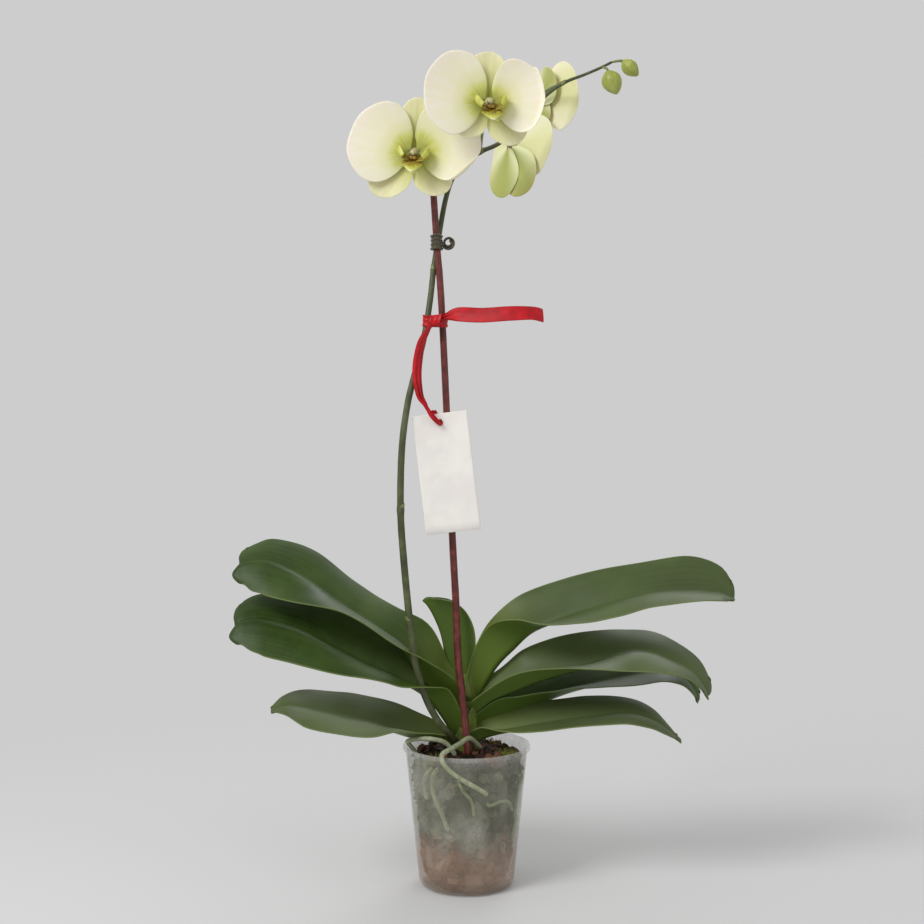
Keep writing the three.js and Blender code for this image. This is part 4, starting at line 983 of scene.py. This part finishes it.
column = {"line": [[0, 0, -2.6], [0, 0.5, 2], [0, 0.3, 6], [0, -0.7, 9.4]],
          "places": [0, 0.15, 0.4, 0.7, 0.86, 0.96, 1], "radii": [6.4, 5, 2.8, 3.2, 3.1, 2, 0.4]}


def columnPart():
    # a short post, flat below, that ends in a rounded hood with a small beak
    rings = []
    for share in np.linspace(0, 1, 26):
        centre = curveAt(column["line"], share)[0]
        radius = np.interp(share, column["places"], column["radii"])
        turn = np.linspace(0, 2 * np.pi, 28, endpoint=False)
        below = np.clip(-np.sin(turn), 0, 1)
        reach = radius * (1 - 0.32 * below * np.interp(share, [0.3, 0.7, 1], [0.2, 1, 0.5]))
        rings.append(np.stack([centre[0] + reach * np.cos(turn) * 0.96, centre[1] + reach * np.sin(turn),
                               np.full(28, centre[2])], -1))
    return closedLoft(rings)


def bloomAxes(flower):
    front = unit(np.array(flower["facing"], float))
    right = unit(np.cross([0, 0, 1], front))
    top = np.cross(front, right)
    lean = -math.radians(flower["lean"])
    return np.array([right * math.cos(lean) + top * math.sin(lean),
                     top * math.cos(lean) - right * math.sin(lean), front])


# stalk: how far behind the flower it ends and turns, its bow, and its radii with the lengths they fade over
stalk = {"end": 2.6, "straight": 9, "bowAt": 0.45, "bow": [0, 0, 3], "radius": 1.35,
         "flare": 0.85, "flareRun": 12, "heel": 0.3, "heelRun": 2.5}


def stalkRoute(flower):
    front = unit(np.array(flower["facing"], float))
    end = np.array(flower["centre"], float) - stalk["end"] * front
    before = end - stalk["straight"] * front
    start = spikeLine[flower["from"]]
    return [start, start + stalk["bowAt"] * (before - start) + stalk["bow"], before, end]


def stalkGirth(share, distance, whole):
    near = np.clip((distance - whole + stalk["flareRun"]) / stalk["flareRun"], 0, 1)
    heel = math.exp(-(distance / stalk["heelRun"]) ** 2)
    return stalk["radius"] + stalk["flare"] * near ** 1.5 + stalk["heel"] * heel


for number, (name, flower) in enumerate(flowers.items()):
    axes, centre = bloomAxes(flower), np.array(flower["centre"], float)
    parts = {piece: petalPart({**form, **flower["grown"].get(piece, {})}, number * 10 + k)
             for k, (piece, form) in enumerate(flowerPieces.items())}
    parts["lip"], parts["column"] = lipPart(), columnPart()
    for piece, part in parts.items():
        part["points"] = centre + part["points"] @ axes
        kind = piece.split("_")[0]
        addPiece(f"{name}_{piece}", "petal" if kind == "column" else kind,
                 painted(meshOf(f"{name}_{piece}", part), looks[kind]))
    addPiece(f"{name}_stalk", "spike", sweptMesh(
        f"{name}_stalk", stalkRoute(flower), stalkGirth, looks["spikeTop"], 16, 1.2))
print("flowers:", len(flowers))


# buds: three closed sepals, so three shallow seams run along each
buds = {
    "bud_1": {"centre": [155, 0, 769], "length": 20, "radius": 7.4, "along": [0.7, 0, -0.7],
              "from": [137, 0, 774.6]},
    "bud_2": {"centre": [137, -7, 754], "length": 24, "radius": 9.4, "along": [0.35, -0.1, -0.9],
              "from": [128, -1.5, 769.5]},
}
for name, bud in buds.items():
    way = unit(np.array(bud["along"], float))
    across = unit(np.cross(way, [0.2, 1, 0.1]))
    third = np.cross(way, across)
    rings = []
    for share in np.linspace(0, 1, 30):
        radius = bud["radius"] * math.sin(math.pi * min(0.985, 0.03 + 0.955 * share ** 0.88)) ** 0.72
        turn = np.linspace(0, 2 * np.pi, 42, endpoint=False)
        seam = np.abs(np.sin(1.5 * turn))
        reach = radius * (1 - 0.07 * np.exp(-(seam / 0.16) ** 2) + 0.02 * seam)
        middle = np.array(bud["centre"]) + way * bud["length"] * (share - 0.5)
        rings.append(middle + (reach * np.cos(turn))[:, None] * across
                     + (reach * np.sin(turn))[:, None] * third)
    body = closedLoft(rings)
    neck = np.array(bud["centre"]) - 0.44 * bud["length"] * way
    bow = (np.array(bud["from"]) + neck) / 2 + [1.5, 0, 1]
    budStalk = sweptMesh(name + "_stalk", [bud["from"], bow, neck, neck + way * 2],
                         lambda share, distance, whole: 1.0 + 0.5 * share, looks["spikeTop"], 14, 1.0)
    addPiece(name, "bud", painted(meshOf(name, body), looks["bud"]), budStalk)
print("buds ready")


# spring clip: a ribbed collar round stake and spike, and a coiled spring at its right
clip = {"centre": [-28, -10.2, 603], "half": [5.1, 9.6], "height": 12, "wire": 1.1,
        "ribs": [-0.5, -0.17, 0.17, 0.5],  # shares of the height, from its middle
        "coilAt": [-17.0, -8, 603], "coilRadius": 6.2, "coilRows": 3, "coilWire": 1.05, "coilGap": 2.1,
        "coilStart": 170, "coilTurn": 620}
clipParts = []
turns = np.radians(np.linspace(18, 342, 60))


def clipRing(up, inset=0.0, sway=0.0):
    # the open ring round the stems at a share of the clip's height
    x, y, z = clip["centre"]
    return [[x + (clip["half"][0] - inset) * math.cos(a), y + (clip["half"][1] - inset) * math.sin(a),
             z + up * clip["height"] + sway * math.sin(3 * a)] for a in turns]


for up in clip["ribs"]:
    stout = 1.1 if abs(up) > 0.4 else 0.8
    clipParts.append(smallTube(clipRing(up, 0.0, 0.5), [clip["wire"] * stout] * 2, 10, 60))
band = np.array([clipRing(up, 0.4) for up in np.linspace(-0.5, 0.5, 9)])
flat = np.stack(np.meshgrid(np.linspace(0, 1, 60), np.linspace(0, 1, 9)), -1)
clipParts.append(thickSheet(band, 1.1, flat))
for row in range(clip["coilRows"]):
    coil = []
    for share in np.linspace(0, 1, 70):
        a = math.radians(clip["coilStart"] + share * clip["coilTurn"])
        radius = clip["coilRadius"] * (1 - 0.62 * share)
        x, y, z = clip["coilAt"]
        coil.append([x + radius * math.cos(a), y + (row - 1) * clip["coilGap"] + 0.3 * share,
                     z + radius * math.sin(a)])
    clipParts.append(smallTube(coil, [clip["coilWire"]] * 2, 10, 70))
addPiece("spike_clip", "clip", painted(meshOf("spike_clip", joined(clipParts)), looks["clip"]))


# ribbon: one strip of satin, tied round stake and spike
ribbon = {"width": 15, "thick": 0.35, "tails": [
    [[-25, -25, 531, 3, 80], [-19, -25.5, 533, 3.2, 66], [-8, -27, 535, 7, 64], [14, -31, 534, 7.5, 66],
     [40, -33, 535.5, 7.5, 68], [60, -30, 536, 7.5, 56], [71, -26, 534, 7.5, 52]],
    [[-31, -26, 528, 3, 10], [-36, -30, 519, 4.2, 20], [-42, -34, 506, 4.9, 38], [-45.5, -37, 482, 4.7, 58],
     [-43, -40, 461, 3.6, 56], [-38, -42, 452, 1.8, 50], [-35.2, -42.5, 447, 1.1, 45],
     [-31, -43, 441, 2.3, 35], [-25.8, -39, 435.4, 2.2, 20], [-24.2, -33, 434.6, 2, 16],
     [-27, -31.5, 440, 2.4, 10], [-31, -34, 445.5, 3, 30]]],
    "loop": {"centre": [-29.2, -18.4, 529], "half": [12.6, 7.4], "angle": 30, "band": 5.2, "upright": False},
    "knot": {"centre": [-29.6, -27.2, 528.6], "half": [5.6, 4.4], "angle": 8, "band": 5.4, "upright": True}}


def stripPart(line, across, half, pleats=1.0, cols=15):
    # strip of satin: gathered into pleats where it is narrower than the ribbon, slightly cupped elsewhere
    ahead = unit(np.gradient(line, axis=0))
    normal = unit(np.cross(ahead, across))
    v, run = np.linspace(-1, 1, cols), lengthsAlong(line)
    gather = np.clip(1 - half / (ribbon["width"] / 2), 0, 1)[:, None]
    fold = pleats * gather * 2.0 * np.sin(v * 7.2 + 0.6) + 0.5 * (v ** 2 - 0.4) * (1 - gather)
    fold = fold + 0.5 * np.sin(run / 13)[:, None] * v * (1 - gather)
    grid = (line[:, None] + across[:, None] * (half[:, None] * v)[..., None]
            + normal[:, None] * fold[..., None])
    spread = np.stack([np.broadcast_to(v * 0.5 + 0.5, fold.shape),
                       np.broadcast_to(run[:, None] / 20, fold.shape)], -1)
    ribbon["length"] = ribbon.get("length", 0) + run[-1]
    return thickSheet(grid, ribbon["thick"], spread)


def tailPart(stations, rows):
    # each station is x, y, z, half-width and the strip's turn about its length in degrees
    table = curveAt(stations, np.linspace(0, 1, rows))
    line, turn = table[:, :3], np.radians(table[:, 4])[:, None]
    ahead = unit(np.gradient(line, axis=0))
    front = np.array([0.0, -1.0, 0.0])
    level = unit(front - ahead * (ahead @ front)[:, None])
    return stripPart(line, level * np.cos(turn) + np.cross(ahead, level) * np.sin(turn), table[:, 3])


def wrapPart(wrap, rows=72):
    # closed turn of ribbon: flat round the stems, or upright round the knot's neck
    turn = np.radians(np.linspace(-100, 268, rows))
    u, v = wrap["half"][0] * np.cos(turn), wrap["half"][1] * np.sin(turn)
    c, s = math.cos(math.radians(wrap["angle"])), math.sin(math.radians(wrap["angle"]))
    if wrap["upright"]:
        offset = np.stack([1.0 * np.sin(turn * 2), -v, u], -1)
        across = np.tile([c, 0, s], (rows, 1))
    else:
        offset = np.stack([u * c - v * s, u * s + v * c, 0.8 * np.sin(turn)], -1)
        across = np.tile([0.0, 0, 1], (rows, 1))
    return stripPart(np.array(wrap["centre"]) + offset, across, np.full(rows, wrap["band"]), 0.35)


ribbonMesh = meshOf("ribbon", joined([tailPart(ribbon["tails"][0], 60), tailPart(ribbon["tails"][1], 80),
                                      wrapPart(ribbon["loop"]), wrapPart(ribbon["knot"])]))
ribbonPiece = addPiece("ribbon", "ribbon", painted(ribbonMesh, looks["ribbon"]))
print("ribbon length in mm:", round(ribbon["length"]))


# card tag: plain white card with a punched hole, slightly bowed
tag = {"width": 51, "height": 110, "thick": 0.7, "hole": 2.6, "holeDown": 8, "tilt": 6.8, "bow": 1.1,
       "foot": [-12, -35, 334], "corner": 0.8}


def ringSkin(rings):
    # skin through rings that also close on themselves from last to first, like a tyre's
    rings = np.asarray(rings, float)
    rows, sides = rings.shape[:2]
    index = np.arange(rows * sides).reshape(rows, sides)
    a, b = index, np.roll(index, -1, axis=1)
    c, d = np.roll(b, -1, axis=0), np.roll(index, -1, axis=0)
    faces = np.stack([a, b, c, d], -1).reshape(-1, 4).tolist()
    points = rings.reshape(-1, 3)
    return {"points": points, "faces": faces, "uv": points[:, :2] / 100, "back": np.zeros(len(points))}


def tagOutline(w, h, r):
    # rounded rectangle, with points at its corners' arcs and at even steps between them
    outline = []
    for (x, y), first in (((w - r, r), -90), ((w - r, h - r), 0), ((-w + r, h - r), 90), ((-w + r, r), 180)):
        for a in np.radians(np.linspace(first, first + 90, 5)):
            outline.append([x + r * math.cos(a), y + r * math.sin(a)])
    closed = np.array([*outline, outline[0]])
    run = lengthsAlong(closed)
    places = np.unique(np.concatenate([run[:-1], np.linspace(0, run[-1], 90)[:-1]]))
    return np.stack([np.interp(places, run, closed[:, 0]), np.interp(places, run, closed[:, 1])], -1)


def tagPart():
    w, h = tag["width"] / 2, tag["height"]
    edge = tagOutline(w, h, tag["corner"])
    hole = np.array([0, h - tag["holeDown"]])
    away = np.arctan2(edge[:, 1] - hole[1], edge[:, 0] - hole[0])
    inner = hole + tag["hole"] * np.stack([np.cos(away), np.sin(away)], -1)
    t = tag["thick"] / 2

    def ring(share, lift):
        flat = inner + (edge - inner) * share
        return np.hstack([flat, np.full((len(flat), 1), lift)])

    # from the hole out over the face, round the edge and back over the other face
    face = [0.004, *(np.linspace(0, 1, 16)[1:-1] ** 1.3), 0.9985]
    front, behind = [ring(share, t) for share in face], [ring(share, -t) for share in face[::-1]]
    part = ringSkin([*front, ring(1, t * 0.5), ring(1, -t * 0.5), *behind, ring(0, 0)])
    x, y, z = part["points"].T
    z = z + tag["bow"] * ((x / w) ** 2 * 0.6 + ((y - h) / h) ** 2 * 1.2 - 0.6)
    tilt = math.radians(tag["tilt"])
    turnedX, turnedY = x * math.cos(tilt) - y * math.sin(tilt), x * math.sin(tilt) + y * math.cos(tilt)
    part["points"] = np.array(tag["foot"]) + np.stack([turnedX, -z, turnedY], -1)
    return part


addPiece("tag", "card", painted(meshOf("tag", tagPart()), looks["card"]))


# pot: one turned profile, with drain holes cut through its floor
def turnedPart(profile, sides):
    # skin of revolution; the first and last points of the profile lie on the axis
    profile = np.array(profile, float)
    part = closedLoft([levelRing(0, 0, z, r, sides) for r, z in profile[1:-1]])
    part["points"][-2], part["points"][-1] = [0, 0, profile[0][1]], [0, 0, profile[-1][1]]
    return part


def makePot():
    corner = [(pot["foot"] - pot["corner"] * (1 - math.sin(a)), pot["corner"] * (1 - math.cos(a)))
              for a in np.linspace(0, math.pi / 2, 8)[:-1]]
    top, wall = pot["height"], pot["wall"]
    outer = [(wallRadius(z), z) for z in np.linspace(pot["corner"] + 1, top - 6, 14)]
    edge = [(pot["rim"] - inset, top - drop) for inset, drop in (
        (0.5, 4.6), (0, 4), (0, 1), (0.35, 0.3), (1, 0), (pot["lip"] - 0.2, 0), (pot["lip"] + 0.3, 0.6))]
    inner = [(wallRadius(z) - wall, z) for z in np.linspace(top - 6, pot["corner"] + 1, 14)]
    flat = pot["foot"] - pot["corner"]  # radius of the floor inside its rounded corner
    floor = [(flat + 1, pot["floor"] + 1.2), (flat - 2, pot["floor"]), (12, pot["floor"]), (0, pot["floor"])]
    profile = [(0, 0), *corner, *outer, *edge, *inner, *floor]
    cup = placed("pot", meshOf("pot", turnedPart(profile, pot["sides"])))
    plugs = []
    for k in range(pot["drainHoles"]):
        turn = 2 * math.pi * (k + 0.5) / pot["drainHoles"]
        at = np.array([pot["drainCircle"] * math.cos(turn), pot["drainCircle"] * math.sin(turn), 0])
        plugs.append(smallTube([at + [0, 0, -3], at, at + [0, 0, 5]], [pot["drainRadius"]] * 2, 24, 3))
    drill = placed("drill", meshOf("drill", joined(plugs)))
    cut = cup.modifiers.new("drainHoles", "BOOLEAN")
    cut.object, cut.operation, cut.solver = drill, "DIFFERENCE", "EXACT"
    finished = meshMade(cup)
    bpy.data.objects.remove(drill)
    finished.name = "pot"
    finished.set_sharp_from_angle(angle=math.radians(50))
    return finished


addPiece("pot", "clear_plastic", painted(makePot(), looks["pot"]))


# potting mix: a dark heap, bark chips over all of it, and a little moss
mix = {"top": 119, "mound": 5, "gap": 6.8, "spacing": 6.2, "chip": 10.5, "tilt": 0.14,
       "topSpacing": 6.0, "topChip": 12.5, "topTilt": 0.75,
       "topRings": [(47, 119), (42, 121), (32, 123), (20, 124), (13, 124)]}  # radius and height
moss = {"spacing": 1.5, "length": 5.0, "clumps": [  # x, y, z, radius and height
    [38, -12, 122, 11, 6], [-30, -26, 121, 11, 4], [22, 26, 122, 13, 4], [-14, 32, 122, 11, 4]]}


def heapPart(shrink, low, high, rise, sides=48):
    def inside(z):
        return wallRadius(z) - pot["wall"] - shrink
    profile = [(0, low), (inside(low) - 4, low), (inside(low + 6), low + 6), (inside(60), 60),
               (inside(high), high), (40, high + rise * 0.5), (20, high + rise), (0, high + rise)]
    return turnedPart(profile, sides)


def topPart():
    # open skin over the heap that the top chips are set on
    sides = 40
    points = np.vstack([levelRing(0, 0, z, r, sides) for r, z in mix["topRings"]])
    faces = [[start + k, start + (k + 1) % sides, start + sides + (k + 1) % sides, start + sides + k]
             for start in range(0, sides * (len(mix["topRings"]) - 1), sides) for k in range(sides)]
    return {"points": points, "faces": faces, "uv": points[:, :2], "back": np.zeros(len(points))}


heap = meshOf("heap", heapPart(mix["gap"], 3, mix["top"] - 1, mix["mound"] - 1))
heap.attributes.new("tint", "FLOAT", "POINT")


def chipsOn(name, part, spacing, length, tilt, seed):
    return grownBy(chipTree, meshOf(name, part), {
        "Spacing": spacing * mm, "Chip Length": length * mm, "Tilt": tilt, "Seed": seed,
        "Material": looks["bark"]})


wallChips = chipsOn("wallChips", heapPart(mix["gap"] - 1.2, 9, mix["top"] - 6, 0),
                    mix["spacing"], mix["chip"], mix["tilt"], 3)
topChips = chipsOn("topChips", topPart(), mix["topSpacing"], mix["topChip"], mix["topTilt"], 8)


def makeMossTree():
    tree, given, result = newTree("mossTufts", [
        ("Spacing", "Float"), ("Length", "Float"), ("Material", "Material")])
    blade = addNode(tree, "GeometryNodeMeshCone", {
        "Vertices": 3, "Side Segments": 3, "Radius Top": 0.02, "Radius Bottom": 0.13, "Depth": 1.0})
    parts = addNode(tree, "ShaderNodeSeparateXYZ", {"Vector": addNode(tree, "GeometryNodeInputPosition")})
    curl = addNode(tree, "ShaderNodeMath", {0: parts.outputs[2], 1: 2.0}, operation="POWER")
    sway = addNode(tree, "ShaderNodeCombineXYZ", {"X": addNode(
        tree, "ShaderNodeMath", {0: curl, 1: 0.35}, operation="MULTIPLY")})
    bent = addNode(tree, "GeometryNodeSetPosition", {"Geometry": blade, "Offset": sway})
    tufts = scatterOver(tree, given, bent, 900000.0, ((-0.9, -0.9, 0), (0.9, 0.9, 6.283), 2),
                        ((0.7, 0.7, 0.5), (1.2, 1.2, 1.2), 9), given["Length"])
    return finishTree(tree, given, result, tufts)


clumps = [closedLoft([levelRing(x, y, z + height * math.sin(a) - 1, radius * math.cos(a), 20)
                      for a in np.radians([0, 30, 60, 85])]) for x, y, z, radius, height in moss["clumps"]]
clumpMesh = painted(meshOf("clumps", joined(clumps)), looks["moss"])
tufts = grownBy(makeMossTree(), clumpMesh.copy(), {
    "Spacing": moss["spacing"] * mm, "Length": moss["length"] * mm, "Material": looks["moss"]})
addPiece("potting_bark", "bark", painted(heap, looks["bark"]), wallChips, topChips, clumpMesh, tufts)
print("potting mix ready")


# floor, light and camera
stageLook = {"floor": "#CCCCCC", "air": "#CDCDCD", "near": 0.35, "far": 1.1,  # fading, in metres
             "level": -0.2, "radius": 3000}


def makeFloorSurface():
    # plain pale floor that fades into the air's own tone away from the plant
    material = bpy.data.materials.new("paleFloor")
    material.use_nodes = True
    tree = material.node_tree
    tree.nodes.clear()
    place = addNode(tree, "ShaderNodeTexCoord")
    away = addNode(tree, "ShaderNodeVectorMath", {0: place.outputs["Object"]}, operation="LENGTH")
    fade = addNode(tree, "ShaderNodeMapRange", {
        "Value": away.outputs["Value"], "From Min": stageLook["near"], "From Max": stageLook["far"]},
        interpolation_type="SMOOTHSTEP")
    matt = addNode(tree, "ShaderNodeBsdfDiffuse", {"Color": stageLook["floor"]})
    clear = addNode(tree, "ShaderNodeBsdfTransparent")
    blend = addNode(tree, "ShaderNodeMixShader", {0: fade, 1: matt, 2: clear})
    addNode(tree, "ShaderNodeOutputMaterial", {"Surface": blend})
    return material


floorMesh = bpy.data.meshes.new("floor")
rim = [(x * mm, y * mm, z * mm) for x, y, z in levelRing(0, 0, stageLook["level"], stageLook["radius"], 96)]
floorMesh.from_pydata(rim, [], [list(range(96))])
floorMesh.materials.append(makeFloorSurface())
placed("floor", floorMesh)

air = bpy.data.worlds.new("air")
air.use_nodes = True
air.node_tree.nodes["Background"].inputs["Color"].default_value = toLinear(stageLook["air"])
bpy.context.scene.world = air
bpy.context.scene.view_settings.view_transform = "Standard"

lamps = {  # place, the point it faces, size in metres, power in watts
    "key": [(-1.3, -1.2, 1.8), (0, 0, 0.4), 0.9, 30],
    "fill": [(1.6, -1.2, 0.9), (0, 0, 0.4), 1.4, 4],
    "back": [(0.6, 1.6, 1.6), (0, 0, 0.5), 1.2, 10],
}
for name, (place, target, size, power) in lamps.items():
    light = bpy.data.lights.new(name, "AREA")
    light.shape, light.size, light.energy = "DISK", size, power
    lamp = placed(name, light)
    lamp.location = place
    lamp.rotation_euler = (Vector(target) - Vector(place)).to_track_quat("-Z", "Y").to_euler()

view = {"place": (-0.0043, -1.373, 0.462), "lens": 56.61, "drop": -0.0747}
camera = bpy.data.cameras.new("camera")
camera.lens, camera.sensor_width, camera.shift_y = view["lens"], 36, view["drop"]
eye = placed("camera", camera)
eye.location = view["place"]
eye.rotation_euler = (math.radians(90), 0, 0)
bpy.context.scene.camera = eye

print("scene ready")
